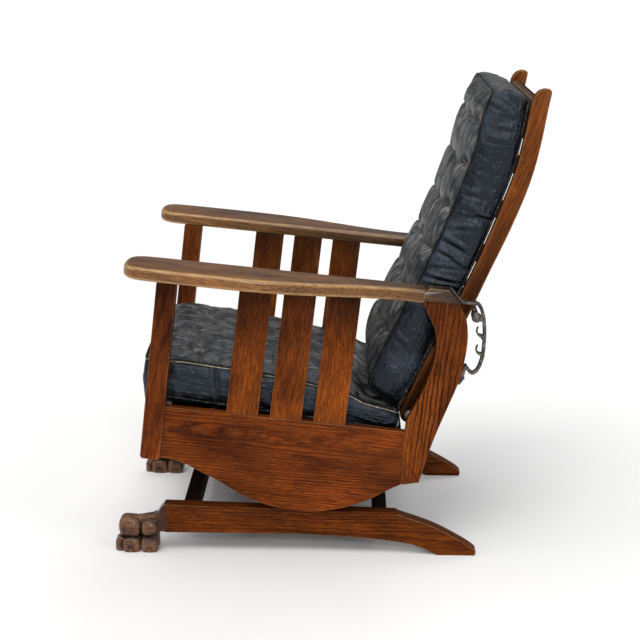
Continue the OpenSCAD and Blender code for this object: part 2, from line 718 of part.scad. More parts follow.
module back_crest_rail() {
    low = crest_top - crest_h;
    rear = edge_x(stile_rear, crest_top - crest_h / 2) - crest_set;
    front = rear - crest_thick;
    lean = edge_x(stile_rear, crest_top - crest_round) - edge_x(stile_rear, low);
    outline = [[front, low], [rear - lean, low], [rear, crest_top - crest_round],
        [rear - crest_round / 3, crest_top - crest_round / 3], [rear - crest_round, crest_top],
        [front + crest_round, crest_top], [front + crest_round / 3, crest_top - crest_round / 3],
        [front, crest_top - crest_round]];
    color(oak_dark) in_seat() translate([0, stile_inner, 0]) rotate([90, 0, 0]) linear_extrude(height = 2 * stile_inner)
        polygon(outline);
}

module back_bottom_rail() {
    z = pivot_z + bottom_rail_rise;
    color(oak_dark) in_seat() translate([edge_x(stile_front, z), -stile_inner, z])
        rotate([0, edge_lean(stile_front, z + bottom_rail_h), 0])
        cube([bottom_rail_thick, 2 * stile_inner, bottom_rail_h]);
}

module pivot_pin(side) {
    color(iron) in_seat() {
        across(pivot_x, pivot_z, stile_inner - nut_thick - run_gap, pivot_post_inner + pin_depth, pin_d / 2, side);
        across(pivot_x, pivot_z, stile_inner - nut_thick - run_gap, stile_inner - run_gap, nut_r, side);
    }
}

module pivot_spacer(side) {
    color(iron) in_seat() difference() {
        across(pivot_x, pivot_z, stile_outer + run_gap, pivot_post_inner, spacer_r, side);
        across(pivot_x, pivot_z, stile_outer - overrun, pivot_post_inner + overrun, pin_d / 2, side);
    }
}

// Ratchet brackets
function normal_at(p, i) = let (a = p[max(i - 1, 0)], b = p[min(i + 1, len(p) - 1)], d = unit(b - a)) [-d[1], d[0]];
function ribbon(p, half) = concat([for (i = [0:len(p) - 1]) p[i] + normal_at(p, i) * half],
    [for (i = [len(p) - 1:-1:0]) p[i] - normal_at(p, i) * half]);
tongue_tip = [arm_rear_x + tongue_len, arm_under(arm_rear_x + tongue_len)];
tongue_crown = [tongue_tip[0] - tongue_rear_bevel, tongue_tip[1] + arm_thick];
tongue_dir = unit(tongue_tip - tongue_crown);
tongue_out = [-tongue_dir[1], tongue_dir[0]];
strap_lift = tongue_out * strap_thick / 2;
strap_over = [for (s = strap_over_shares) [bar_x + strap_out * s[0], bar_z + strap_rise * s[1]]];
strap_down = [for (s = strap_down_shares) [bar_x + strap_out * s[0], bar_z + strap_drop * s[1]]];
strap_line = smooth(concat(strap_over, strap_down), 4);
foot_top_z = bar_z - foot_high;
foot_low_z = bar_z - foot_low;
strap_foot = [edge_x(post_rear_edge, foot_top_z - foot_thick) + foot_thick / 2, foot_top_z - foot_thick];
hook_places = [[0, 0], [hook2_back, -hook2_drop], [hook3_back, -hook3_drop]];

module hook_shape(place) {
    x = bar_x + place[0];
    z = bar_z + place[1];
    outer = cup_r + hook_wall;
    mid_r = cup_r + hook_wall / 2;
    strap_x = edge_x(backwards(strap_line), z - outer);
    difference() {
        union() {
            translate([x, z]) circle(r = outer, $fn = round_fn);
            polygon([[x + mid_r * cos(240), z + mid_r * sin(240)], [strap_x, z - outer - hook_gusset],
                [strap_x, z + hook_wall], [x + mid_r, z]]);
        }
        translate([x, z]) circle(r = cup_r, $fn = round_fn);
        translate([x, z]) rotate(-bar_lean) translate([-cup_r, 0]) square([2 * cup_r, outer + bar_lift]);
        translate([x - 2 * outer, z + hook_tip]) square([2 * outer + cup_r, 2 * outer]);
    }
}

// Its pieces, each cut from the bracket's width
module bracket_body() {
    difference() {
        union() {
            linear_extrude(height = bracket_w)
                polygon(ribbon([tongue_crown + strap_lift, tongue_tip + strap_lift], strap_thick / 2));
            linear_extrude(height = bracket_w)
                polygon(ribbon(concat([tongue_tip + strap_lift], strap_line, [strap_foot]), strap_thick / 2));
            linear_extrude(height = bracket_w)
                polygon(concat([for (z = [foot_low_z:foot_thick:foot_top_z]) [edge_x(post_rear_edge, z), z]],
                    [[edge_x(post_rear_edge, foot_top_z) + foot_thick, foot_top_z],
                    [edge_x(post_rear_edge, foot_low_z) + foot_thick, foot_low_z + foot_thick]]));
            for (place = hook_places) linear_extrude(height = bracket_w) hook_shape(place);
        }
        // Keeps the bracket clear of the wood that it is screwed to
        translate([0, 0, -overrun]) linear_extrude(height = bracket_w + 2 * overrun)
            polygon(concat(post_front_edge, backwards(post_rear_edge)));
    }
}

module strap_screw(side) {
    mid = (tongue_crown + tongue_tip) / 2;
    translate([mid[0], side * bracket_mid, mid[1]]) rotate([0, atan2(tongue_out[0], tongue_out[1]), 0])
        translate([0, 0, -screw_len]) cylinder(h = screw_len + strap_thick, r = screw_r, $fn = round_fn);
}

foot_screw_share = 0.3;
foot_screw_z = lerp(foot_low_z, foot_top_z, foot_screw_share);
foot_screw_x = edge_x(post_rear_edge, foot_screw_z);

module foot_screw(side) {
    translate([foot_screw_x - screw_len, side * bracket_mid, foot_screw_z]) rotate([0, 90, 0])
        cylinder(h = screw_len + foot_thick, r = screw_r, $fn = round_fn);
}

module ratchet_bracket(side) {
    color(iron) in_seat() difference() {
        translate([0, side < 0 ? -bracket_inner : bracket_inner + bracket_w, 0]) rotate([90, 0, 0]) bracket_body();
        strap_screw(side);
        foot_screw(side);
    }
}

module bracket_screws() {
    mid = (tongue_crown + tongue_tip) / 2 + tongue_out * strap_thick;
    color(iron) in_seat() for (side = [left, right]) {
        strap_screw(side);
        translate([mid[0], side * bracket_mid, mid[1]]) rotate([0, atan2(tongue_out[0], tongue_out[1]), 0])
            cylinder(h = screw_head_h, r = screw_head_r, $fn = round_fn);
        foot_screw(side);
        translate([foot_screw_x + foot_thick, side * bracket_mid, foot_screw_z]) rotate([0, 90, 0])
            cylinder(h = screw_head_h, r = screw_head_r, $fn = round_fn);
    }
}

// Support bar
bar_end = bracket_inner + bracket_w + bar_end_gap;

module support_bar() {
    color(iron) in_seat() across(bar_x, bar_z, -bar_end, bar_end, bar_r, right);
}

module bar_finial(side) {
    ball_r = finial_d / 2;
    color(iron) in_seat() union() {
        across(bar_x, bar_z, bar_end, bar_end + finial_neck + ball_r, finial_neck_r, side);
        translate([bar_x, side * (bar_end + finial_neck + ball_r), bar_z]) sphere(r = ball_r, $fn = round_fn);
    }
}

base_rail(left);  // base_rail_left
base_rail(right);  // base_rail_right
paw_foot(left);  // paw_foot_left
paw_foot(right);  // paw_foot_right
cross_rail(rail_front_x + cross_front_inset);  // base_cross_rail_front
cross_rail(heel_x - cross_rear_inset - cross_w);  // base_cross_rail_rear
spring_lower_bracket(left);  // spring_lower_bracket_left
spring_lower_bracket(right);  // spring_lower_bracket_right
rocker_springs(left);  // rocker_springs_left
rocker_springs(right);  // rocker_springs_right
side_panel(left);  // side_panel_left
side_panel(right);  // side_panel_right
front_post(left);  // front_post_left
front_post(right);  // front_post_right
rear_post(left);  // rear_post_left
rear_post(right);  // rear_post_right
arm(left);  // arm_left
arm(right);  // arm_right
arm_slats(left);  // arm_slats_left
arm_slats(right);  // arm_slats_right
seat_front_rail();
seat_rear_rail();
color(oak_dark) in_seat() seat_cleat(left);  // seat_cleat_left
color(oak_dark) in_seat() seat_cleat(right);  // seat_cleat_right
seat_slat(0);  // seat_slat_1
seat_slat(1);  // seat_slat_2
seat_slat(2);  // seat_slat_3
seat_slat(3);  // seat_slat_4
seat_slat(4);  // seat_slat_5
seat_cushion();
ratchet_bracket(left);  // ratchet_bracket_left
ratchet_bracket(right);  // ratchet_bracket_right
bracket_screws();
spring_upper_bracket(left);  // spring_upper_bracket_left
spring_upper_bracket(right);  // spring_upper_bracket_right
spring_lower_screws();
spring_upper_screws();
pivot_pin(left);  // pivot_pin_left
pivot_pin(right);  // pivot_pin_right
pivot_spacer(left);  // pivot_spacer_left
pivot_spacer(right);  // pivot_spacer_right
back_stile(left);  // back_stile_left
back_stile(right);  // back_stile_right
back_crest_rail();
back_bottom_rail();
back_slat(0);  // back_slat_1
back_slat(1);  // back_slat_2
back_slat(2);  // back_slat_3
back_slat(3);  // back_slat_4
back_slat(4);  // back_slat_5
back_cushion();
support_bar();
bar_finial(left);  // bar_finial_left
bar_finial(right);  // bar_finial_right
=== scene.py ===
"""Oak platform rocker with a reclining back, carved paw feet and tufted leather cushions.

Lengths are in metres where no name or comment says mm. The chair faces -X and +Z is up. The frame's bodies carry
every piece.
"""
import functools
import json
import math

import bmesh
import bpy
import numpy as np
from mathutils import Matrix, Vector

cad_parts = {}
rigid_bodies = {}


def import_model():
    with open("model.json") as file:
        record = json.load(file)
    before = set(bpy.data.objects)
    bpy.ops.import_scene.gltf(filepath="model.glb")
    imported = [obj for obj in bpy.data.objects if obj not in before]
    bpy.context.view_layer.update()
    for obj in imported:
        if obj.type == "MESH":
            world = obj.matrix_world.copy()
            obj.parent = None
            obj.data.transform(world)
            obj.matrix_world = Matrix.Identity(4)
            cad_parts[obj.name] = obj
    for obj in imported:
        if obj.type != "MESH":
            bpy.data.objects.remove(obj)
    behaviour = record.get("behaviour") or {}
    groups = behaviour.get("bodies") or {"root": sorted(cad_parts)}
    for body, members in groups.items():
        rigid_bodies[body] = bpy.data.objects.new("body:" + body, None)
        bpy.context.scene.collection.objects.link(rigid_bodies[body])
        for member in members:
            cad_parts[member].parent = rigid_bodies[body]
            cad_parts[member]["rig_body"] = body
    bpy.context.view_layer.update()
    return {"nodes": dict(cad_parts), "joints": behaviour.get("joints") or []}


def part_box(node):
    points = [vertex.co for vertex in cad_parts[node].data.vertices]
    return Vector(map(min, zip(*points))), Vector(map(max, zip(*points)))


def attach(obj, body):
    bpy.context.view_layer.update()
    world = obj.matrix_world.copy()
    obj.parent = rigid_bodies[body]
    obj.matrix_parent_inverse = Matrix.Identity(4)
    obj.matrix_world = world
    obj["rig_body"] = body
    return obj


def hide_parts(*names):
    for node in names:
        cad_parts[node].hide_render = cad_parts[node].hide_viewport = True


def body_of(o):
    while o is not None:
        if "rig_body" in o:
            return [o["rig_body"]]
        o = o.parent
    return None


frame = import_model()

bl_info = {
    "name": "Oak Platform Rocker",
    "version": (1, 0, 0),
    "blender": (4, 5, 0),
    "location": "3D View > Sidebar > Rocker",
    "description": "Dresses the oak platform rocker: boards, carved feet, ironwork, springs and leather cushions",
    "category": "Object",
}

# Directions and places in the chair

MM = 0.001
# The seat leans back by this angle at rest, about the centre of its rocking edges, which have this radius in mm
SEAT_LEAN = math.radians(6.4)
ROCK_CENTRE = np.array(next(j for j in frame["joints"] if j["name"] == "seat_rock")["pos_m"])
ROCKER_R = 328.0

ALONG_SEAT = np.array([math.cos(SEAT_LEAN), 0.0, -math.sin(SEAT_LEAN)])
ACROSS = np.array([0.0, 1.0, 0.0])
UP_SEAT = np.array([math.sin(SEAT_LEAN), 0.0, math.cos(SEAT_LEAN)])
# The stiles' height above the pivots in seat mm, how far they sweep back over it, and where the pivots are (x, z)
STILE_H, STILE_SWEEP = 769.0, 213.0
PIVOT = np.array([240.0, 250.0])
BACK_TILT = math.atan2(STILE_SWEEP, STILE_H)
UP_BACK = ALONG_SEAT * math.sin(BACK_TILT) + UP_SEAT * math.cos(BACK_TILT)
OUT_BACK = ALONG_SEAT * math.cos(BACK_TILT) - UP_SEAT * math.sin(BACK_TILT)
WORLD_X = np.array([1.0, 0.0, 0.0])
UP_POST = ALONG_SEAT * 0.03 + UP_SEAT


def from_seat(x, y, z):
    """Turns seat-frame millimetres into metres in the row: x along the seat, y across, z above the rocking edge."""
    x, y, z = np.broadcast_arrays(np.asarray(x, float), np.asarray(y, float), np.asarray(z, float) - ROCKER_R)
    p = x[..., None] * ALONG_SEAT + y[..., None] * ACROSS + z[..., None] * UP_SEAT
    return p * MM + ROCK_CENTRE


def along_seat(points):
    """How far along the seat points in the row lie, in seat-frame millimetres."""
    return (np.asarray(points) - ROCK_CENTRE) @ ALONG_SEAT / MM


def curve(points, steps):
    """A smooth line through the points: each span is a cubic whose ends lean as the neighbours do."""
    p = np.asarray(points, float)
    before, after = np.vstack([p[:1], p[:-2]]), np.vstack([p[2:], p[-1:]])
    t = (np.arange(steps) / steps)[None, :, None]
    a, b, c, d = before[:, None], p[:-1, None], p[1:, None], after[:, None]
    q = (2 * b + (c - a) * t + (2 * a - 5 * b + 4 * c - d) * t ** 2 + (3 * b - a - 3 * c + d) * t ** 3) / 2
    return np.vstack([q.reshape(-1, p.shape[1]), p[-1:]])


# Colours and nodes

def shade(code, alpha=1.0):
    """An sRGB hex colour as the linear colour that Blender works with."""
    c = np.array([int(code[i:i + 2], 16) for i in (1, 3, 5)]) / 255.0
    c = np.where(c <= 0.04045, c / 12.92, ((c + 0.055) / 1.055) ** 2.4)
    return (*c.tolist(), alpha)


def put(tree, kind, inputs=(), ramp=(), **settings):
    """Adds one node. Settings are its own choices. Inputs give each socket a value, a colour code, or what feeds it.

    Inputs are listed from the first socket on, or keyed by name or number. A node feeds from its first live output.
    """
    node = tree.nodes.new("ShaderNode" + kind)
    for name, value in settings.items():
        setattr(node, name, value)
    for name, value in inputs.items() if isinstance(inputs, dict) else enumerate(inputs):
        if isinstance(value, bpy.types.Node):
            value = next(output for output in value.outputs if output.enabled)
        if isinstance(value, bpy.types.NodeSocket):
            tree.links.new(value, node.inputs[name])
        else:
            node.inputs[name].default_value = shade(value) if isinstance(value, str) else value
    for number, (place, colour) in enumerate(ramp):
        stops = node.color_ramp.elements
        stop = stops[number] if number < len(stops) else stops.new(1.0)
        stop.position = place
        stop.color = shade(colour) if isinstance(colour, str) else (
            (colour,) * 3 + (1.0,) if isinstance(colour, float) else colour)
    return node


def new_material(name, recipe, *settings):
    """A material with one Principled shader, whose sockets take what the recipe gives: fixed values or nodes."""
    material = bpy.data.materials.new(name)
    material.use_nodes = True
    material.node_tree.nodes.clear()
    add = functools.partial(put, material.node_tree)
    add("OutputMaterial", {"Surface": add("BsdfPrincipled", recipe(add, *settings))})
    return material


# Meshes

def new_piece(name, shape, body, material, node=None):
    """A piece at the origin that rides on a CAD body, from a mesh or from (points, faces), in place of a CAD node."""
    mesh = shape
    if isinstance(shape, tuple):
        mesh = bpy.data.meshes.new(name)
        mesh.from_pydata(np.asarray(shape[0], float).tolist(), [], [tuple(face) for face in shape[1]])
        mesh.validate()
        mesh.shade_smooth()
    mesh.name = name
    mesh.materials.clear()
    mesh.materials.append(material)
    piece = bpy.data.objects.new(name, mesh)
    bpy.context.scene.collection.objects.link(piece)
    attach(piece, body)
    if node:
        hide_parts(node)
    return piece


def grid_faces(rows, columns, close_columns=True, start=0):
    """Quads between neighbouring points of a grid of rows, closed round its columns if wanted."""
    i, k = np.meshgrid(np.arange(rows - 1), np.arange(columns if close_columns else columns - 1), indexing="ij")
    a = i * columns + k
    b = i * columns + (k + 1) % columns
    return np.stack([a, b, b + columns, a + columns], axis=-1).reshape(-1, 4) + start


def outward(piece, merge=True):
    """Turns all faces outwards, after merging what coincides unless the grid has to keep its count."""
    work = bmesh.new()
    work.from_mesh(piece.data)
    if merge:
        bmesh.ops.remove_doubles(work, verts=work.verts, dist=1e-6)
        bmesh.ops.dissolve_degenerate(work, edges=work.edges, dist=1e-7)
    bmesh.ops.recalc_face_normals(work, faces=work.faces)
    work.to_mesh(piece.data)
    work.free()


def round_cord(path, radius, sides=8):
    """A round cord along a closed path: each ring stands across the path, and its frame turns as little as it can.

    Point = path + radius * (u cos a + v sin a), with a going once round.
    """
    count = len(path)
    d = np.roll(path, -1, 0) - np.roll(path, 1, 0)
    d /= np.linalg.norm(d, axis=1)[:, None]
    u = np.zeros_like(path)
    u[0] = np.cross(d[0], [0.3, 0.9, 0.1])
    u[0] /= np.linalg.norm(u[0])
    for i in range(1, count):
        w = u[i - 1] - d[i] * np.dot(u[i - 1], d[i])
        u[i] = w / np.linalg.norm(w)
    v = np.cross(d, u)
    a = np.linspace(0, 2 * np.pi, sides, endpoint=False)[None, :, None]
    ring = path[:, None] + radius * (u[:, None] * np.cos(a) + v[:, None] * np.sin(a))
    last = (count - 1) * sides
    closing = [(last + k, last + (k + 1) % sides, (k + 1) % sides, k) for k in range(sides)]
    return ring.reshape(-1, 3), grid_faces(count, sides).tolist() + closing


def lathe(profile, centre, axis, sides=48):
    """A turned piece: the profile's (distance along the axis, radius) pairs go once round the axis."""
    profile = np.asarray(profile, float)
    axis = np.asarray(axis, float)
    side = np.cross(axis, [0.2, 0.1, 0.9])
    u = side / np.linalg.norm(side)
    v = np.cross(axis, u)
    a = np.linspace(0, 2 * np.pi, sides, endpoint=False)[None, :, None]
    points = (np.asarray(centre) + profile[:, None, :1] * axis
              + profile[:, None, 1:] * (u * np.cos(a) + v * np.sin(a)))
    return points.reshape(-1, 3), grid_faces(len(profile), sides).tolist()


def join(*parts):
    """Puts several (points, faces) pairs into one."""
    points, faces, start = [], [], 0
    for p, f in parts:
        points.append(np.asarray(p, float))
        faces += [tuple(int(k) + start for k in face) for face in f]
        start += len(p)
    return np.vstack(points), faces


def write_attribute(mesh, name, values):
    """Stores a vector for each vertex."""
    attribute = mesh.attributes.new(name, "FLOAT_VECTOR", "POINT")
    attribute.data.foreach_set("vector", np.ascontiguousarray(values, dtype=np.float32).ravel())


def read(items, name, width=1, kind=np.int32):
    """The values of one property of all the items, in rows of the given width."""
    values = np.empty(len(items) * width, dtype=kind)
    items.foreach_get(name, values)
    return values.reshape(-1, width) if width > 1 else values


def read_points(mesh):
    """The mesh's vertices as an array of points."""
    return read(mesh.vertices, "co", 3, np.float32).astype(float)


def islands(count, edges):
    """A number for each vertex, the same for all vertices of one loose part."""
    label = np.arange(count)
    while True:
        low = np.minimum(label[edges[:, 0]], label[edges[:, 1]])
        new = label.copy()
        np.minimum.at(new, edges[:, 0], low)
        np.minimum.at(new, edges[:, 1], low)
        if (new == label).all():
            break
        label = new
    return np.unique(label, return_inverse=True)[1]


def shaped_copy(node, bevel, segments, shortest=0.003, sharp=25.0, share=None):
    """A copy of a CAD node's mesh with its flat faces whole again and its edges rounded.

    An edge is rounded where its two faces meet at more than the sharp angle, unless it is shorter than a screw hole's.
    Where share is given, it says how much of the rounding an edge gets at its middle.
    """
    work = bmesh.new()
    work.from_mesh(frame["nodes"][node].data)
    bmesh.ops.remove_doubles(work, verts=work.verts, dist=2e-5)
    bmesh.ops.dissolve_limit(work, angle_limit=math.radians(0.6), verts=work.verts, edges=work.edges)
    weight = work.edges.layers.float.new("bevel_weight_edge")
    for edge in work.edges:
        if edge.is_manifold and edge.calc_face_angle(0.0) > math.radians(sharp) and edge.calc_length() > shortest:
            edge[weight] = share((edge.verts[0].co + edge.verts[1].co) / 2) if share else 1.0
    mesh = bpy.data.meshes.new(node + "_shape")
    work.to_mesh(mesh)
    work.free()
    mesh.shade_smooth()
    helper = bpy.data.objects.new(node + "_shape", mesh)
    bpy.context.scene.collection.objects.link(helper)
    if bevel > 0:
        rounding = helper.modifiers.new("Edges", "BEVEL")
        rounding.limit_method = "WEIGHT"
        rounding.width = bevel
        rounding.segments = segments
        rounding.use_clamp_overlap = False
        rounding.harden_normals = True
    view = bpy.context.evaluated_depsgraph_get()
    done = bpy.data.meshes.new_from_object(helper.evaluated_get(view), preserve_all_data_layers=True, depsgraph=view)
    bpy.data.objects.remove(helper)
    bpy.data.meshes.remove(mesh)
    return done


def nodes_like(*starts):
    """The CAD nodes whose names start with one of these."""
    return [node for node in frame["nodes"] if node.startswith(starts)]


def rule_for(table, node, otherwise=None):
    """The entry with the longest name that the node's name starts with."""
    found = [name for name in table if node.startswith(name)]
    return table[max(found, key=len)] if found else otherwise


# Wood

# Each board's direction of grain, the way through its thickness, its finish, its edge rounding in mm
BOARDS = {
    "base_rail": (WORLD_X, ACROSS, "oak_base", 1.6),
    # The inner rails, cleats and slats take a near-black finish: painted shade
    "base_cross_rail": (ACROSS, WORLD_X, "oak_inner", 1.6),
    "side_panel": (ALONG_SEAT, ACROSS, "oak", 1.6),
    "front_post": (UP_SEAT, ACROSS, "oak", 2.2),
    "rear_post": (UP_POST, ACROSS, "oak_post", 2.0),
    "arm_slats": (UP_SEAT, ACROSS, "oak_slat", 1.4),
    "arm": (ALONG_SEAT, UP_SEAT, "oak_arms", 9.0),
    "seat_front_rail": (ACROSS, ALONG_SEAT, "oak", 2.0),
    "seat_rear_rail": (ACROSS, ALONG_SEAT, "oak_inner", 1.5),
    "seat_cleat": (ALONG_SEAT, ACROSS, "oak_inner", 1.0),
    "seat_slat": (ACROSS, UP_SEAT, "oak_inner", 1.2),
    # The far arm's slats take a paler copy of the slat oak: painted light
    "arm_slats_right": (UP_SEAT, ACROSS, "oak_far_lit", 1.4),
    "front_post_right": (UP_SEAT, ACROSS, "oak_slat", 2.2),
    "back_stile": (UP_BACK, ACROSS, "oak_stile", 3.0),
    "back_crest_rail": (ACROSS, OUT_BACK, "oak_worn", 2.5),
    "back_bottom_rail": (ACROSS, OUT_BACK, "oak_inner", 1.5),
    "back_slat": (ACROSS, OUT_BACK, "oak_inner", 1.5),
}

# Where the tree's heart lies from a board's middle, across and behind it, and how it leans, where a board shows it
HEARTS = {"side_panel": (-0.064, 0.010, 0.003), "rear_post": (0.075, 0.03, 0.02), "base_rail": (0.03, 0.05, 0.02),
          "back_stile": (0.09, 0.06, 0.0)}

# How much darker a board is made towards its far end, or its near end where the number is negative, and how far
# that reaches in metres: painted shade where the arm slats and posts run up under the arms and at the stiles' low
# ends by the seat cushion; the arms are simply made darker towards their rear ends
SHADED_ENDS = {"arm_slats": (0.8, 0.058), "front_post": (0.6, 0.058), "rear_post": (0.35, 0.058), "arm_left": (0.95, 0.1),
        "arm_right": (0.95, 0.1), "back_stile": (-0.9, 0.16)}

# The finish that each of these finishes is grouped with
SLOT_OF = dict.fromkeys(("oak_base", "oak_slat", "oak_far_lit", "oak_post", "oak_stile"), "oak") | {"oak_worn": "oak_inner"}


def edge_vertices(mesh, widest):
    """1 for each vertex that touches only faces narrower than widest, as those of a rounded edge are, else 0."""
    vertex, edge = read(mesh.loops, "vertex_index"), read(mesh.loops, "edge_index")
    start, area = read(mesh.polygons, "loop_start"), read(mesh.polygons, "area", kind=np.float32)
    ends = read_points(mesh)[read(mesh.edges, "vertices", 2)]
    length = np.linalg.norm(ends[:, 0] - ends[:, 1], axis=1)
    width = 2 * area / np.maximum(np.add.reduceat(length[edge], start), 1e-9)
    owner = np.repeat(np.arange(len(start)), np.diff(np.append(start, len(vertex))))
    widest_at = np.zeros(len(mesh.vertices))
    np.maximum.at(widest_at, vertex, width[owner])
    return (widest_at < widest).astype(float)


def write_grain(mesh, seed, along, through, rim, heart, shaded_end):
    """Lays a plank's grain on a mesh: distances along, across and through the plank from a tilted tree centre.

    Each loose board gets a centre of its own, some centimetres behind its face and leaning a little, so that its
    growth rings open into long arches. The finish attribute holds wear at the edges, the board's own tone, and how
    much darker its end is made, which on the slats, posts and stiles is painted shade.
    """
    rng = np.random.default_rng(seed)
    p = read_points(mesh)
    n = read(mesh.vertex_normals, "vector", 3, np.float32).astype(float)
    part = islands(len(p), read(mesh.edges, "vertices", 2))
    across = np.cross(through, along)
    local = np.stack([p @ along, p @ across, p @ through], axis=1)
    tone, shade_and_darkening = np.zeros(len(p)), np.zeros(len(p))
    for k in range(part.max() + 1):
        mine = part == k
        low, high = local[mine].min(0), local[mine].max(0)
        # Darker towards one end: painted shade on the slats, posts and stiles, a plain darker end on the arms
        end = high[0] - local[mine][:, 0] if shaded_end[0] >= 0 else local[mine][:, 0] - low[0]
        shade_and_darkening[mine] = abs(shaded_end[0]) * np.exp(-(end / shaded_end[1]) ** 2)
        q = local[mine] - (low + high) / 2
        yaw, pitch = rng.uniform(-0.035, 0.035), rng.choice([-1, 1]) * rng.uniform(0.03, 0.075)
        centre = np.array([rng.uniform(-0.02, 0.02), rng.choice([-1, 1]) * rng.uniform(0.035, 0.06)])
        if heart:
            centre, pitch = np.array([heart[0], heart[1] * np.sign(centre[1])]), heart[2]
        local[mine] = np.stack([q[:, 0] + rng.uniform(-5, 5), q[:, 1] + yaw * q[:, 0] - centre[0],
                                q[:, 2] + pitch * q[:, 0] - centre[1]], axis=1)
        tone[mine] = rng.uniform(-1, 1)
    # A vertex that faces none of the plank's own directions lies on a rounding
    faced = np.abs(np.stack([n @ along, n @ across, n @ through], axis=1)).max(1)
    wear = np.clip(1.35 * (1 - faced) / 0.29, 0, 1) * edge_vertices(mesh, rim)
    write_attribute(mesh, "grain", local)
    write_attribute(mesh, "finish", np.stack([wear, tone, shade_and_darkening], axis=1))


def oak(add, line, dark, middle, light, worn, ring_mm, roughness, figure, wear_amount, gloss=0.03, dust=0.0):
    """Plain-sawn oak, stained and varnished long ago.

    The eye sees growth rings as arches and stripes of dark early wood, short dark pores and fine fibres along the
    grain, red and orange drift from the stain, paler rubbed edges, and a gloss that breaks up over the pores. Real
    rings are 2 to 3 mm wide and pores 0.3 mm; both are drawn coarser to show.
    """
    grain, finish = (add("Attribute", attribute_name=name).outputs["Vector"] for name in ("grain", "finish"))
    wear, tone, shade_and_darkening = add("SeparateXYZ", [finish]).outputs
    # Noises drawn out along the grain: waves in a metre along, across and through, detail and roughness
    wander, knots, patches, streak, fine, pits, drift = [
        add("TexNoise", {"Vector": add("Mapping", {"Vector": grain, "Scale": scale}), "Scale": 1.0, "Detail": detail,
                         "Roughness": rough})
        for scale, detail, rough in (((4, 22, 22), 3.0, 0.55), ((24, 40, 40), 1.0, 0.55), ((2.2, 9, 9), 2.0, 0.55),
                                     ((7, 420, 420), 4.0, 0.6), ((60, 800, 800), 2.0, 0.6),
                                     ((30, 560, 560), 1.5, 0.55), ((5, 15, 15), 3.0, 0.55))]
    # Growth rings by the distance from the heart, which closes them into eyes near it
    _, aside, behind = add("SeparateXYZ", [grain]).outputs
    radius = add("VectorMath", [add("CombineXYZ", [0.0, aside, behind])], operation="LENGTH")
    eyes = add("Math", [knots, add("MapRange", [radius, 0.010, 0.030, 4.5, 0.0])], operation="MULTIPLY")
    ring = add("Math", [radius, 1000.0 / ring_mm], operation="MULTIPLY")
    ring = add("Math", [ring, eyes], operation="ADD")
    ring = add("Math", [ring, add("Math", [wander, 2.6], operation="MULTIPLY")], operation="ADD")
    ring_line = add("ValToRGB", [add("Math", [ring], operation="FRACT")],
                    ramp=[(0.0, 0.55), (0.18, 0.05), (0.5, 0.0), (0.74, 0.55), (0.88, 1.0), (1.0, 0.55)])
    strength = add("MapRange", [patches, 0.36, 0.62, 0.25, 1.0])
    ring_amount = add("Math", [add("Math", [ring_line, strength], operation="MULTIPLY"), figure], operation="MULTIPLY")
    pores = add("MapRange", [pits, 0.54, 0.64])
    # Colour, from the fibres and rings up to wear, dust and, last, painted shade
    halves = [add("Math", [part, 0.5], operation="MULTIPLY") for part in (streak, fine)]
    mixed = add("Math", halves, operation="ADD")
    colour = add("ValToRGB", [mixed], ramp=[(0.34, dark), (0.50, middle), (0.66, light)])
    patch = add("ValToRGB", [drift], ramp=[(0.30, "#7d6a66"), (0.50, "#c8c0ba"), (0.70, "#fff0dc")])
    board = add("MapRange", [tone, -1.0, 1.0, 1.22, 1.62])
    rubbed = add("Math", [wear, add("MapRange", [streak, 0.3, 0.62, 0.1, 1.1])], operation="MULTIPLY", use_clamp=True)
    layers = [("MIX", ring_amount, line), ("MIX", add("Math", [pores, 0.6], operation="MULTIPLY"), "#241008"),
              ("MULTIPLY", 0.85, patch), ("MULTIPLY", 1.0, add("CombineColor", [board] * 3)),
              ("MIX", add("Math", [rubbed, wear_amount], operation="MULTIPLY"), worn)]
    if dust:
        layers.append(("MIX", add("Math", [drift, dust], operation="MULTIPLY"), "#6f6862"))
    # The last layer darkens towards #2b1a12: painted shade at the boards' shaded ends and in the paws' hollows, and a
    # darker tone where a paw runs into its rail
    for how, amount, over in layers + [("MULTIPLY", shade_and_darkening, "#2b1a12")]:
        colour = add("Mix", {0: amount, 6: colour, 7: over}, data_type="RGBA", blend_type=how)
    hollows = [add("Math", [part, amount], operation="MULTIPLY") for part, amount in ((ring_amount, 0.3), (pores, 0.6))]
    height = add("Math", [add("Math", [mixed, 0.6], operation="MULTIPLY"), add("Math", hollows, operation="ADD")],
                 operation="SUBTRACT")
    return {"Base Color": colour, "Roughness": add("MapRange", [mixed, 0.3, 0.7, roughness, roughness + 0.2]),
            "Normal": add("Bump", {"Height": height, "Strength": 0.3, "Distance": 0.0006}), "IOR": 1.5,
            "Specular IOR Level": 0.12 if gloss > 0.1 else 0.05, "Coat Weight": gloss, "Coat Roughness": 0.22}


def arm_share(place):
    """Full rounding on the arm's own edges, and a narrow chamfer on the square tongue behind it."""
    return 1.0 if along_seat(place) < 205 else 0.3


def dress_board(node):
    """Replaces one CAD board by a copy with rounded edges and its own grain."""
    along, through, kind, rounding = rule_for(BOARDS, node)
    broad = rounding > 5
    mesh = shaped_copy(node, rounding * MM, 5 if broad else 3, share=arm_share if kind == "oak_arms" else None)
    seed = sum(ord(letter) * (i + 3) for i, letter in enumerate(node))
    write_grain(mesh, seed, along, through, rounding * MM * (0.42 if broad else 0.7), rule_for(HEARTS, node),
                rule_for(SHADED_ENDS, node, (0.0, 1.0)))
    new_piece("oak_" + node, mesh, body_of(frame["nodes"][node])[0], finish(kind), node)


# Iron

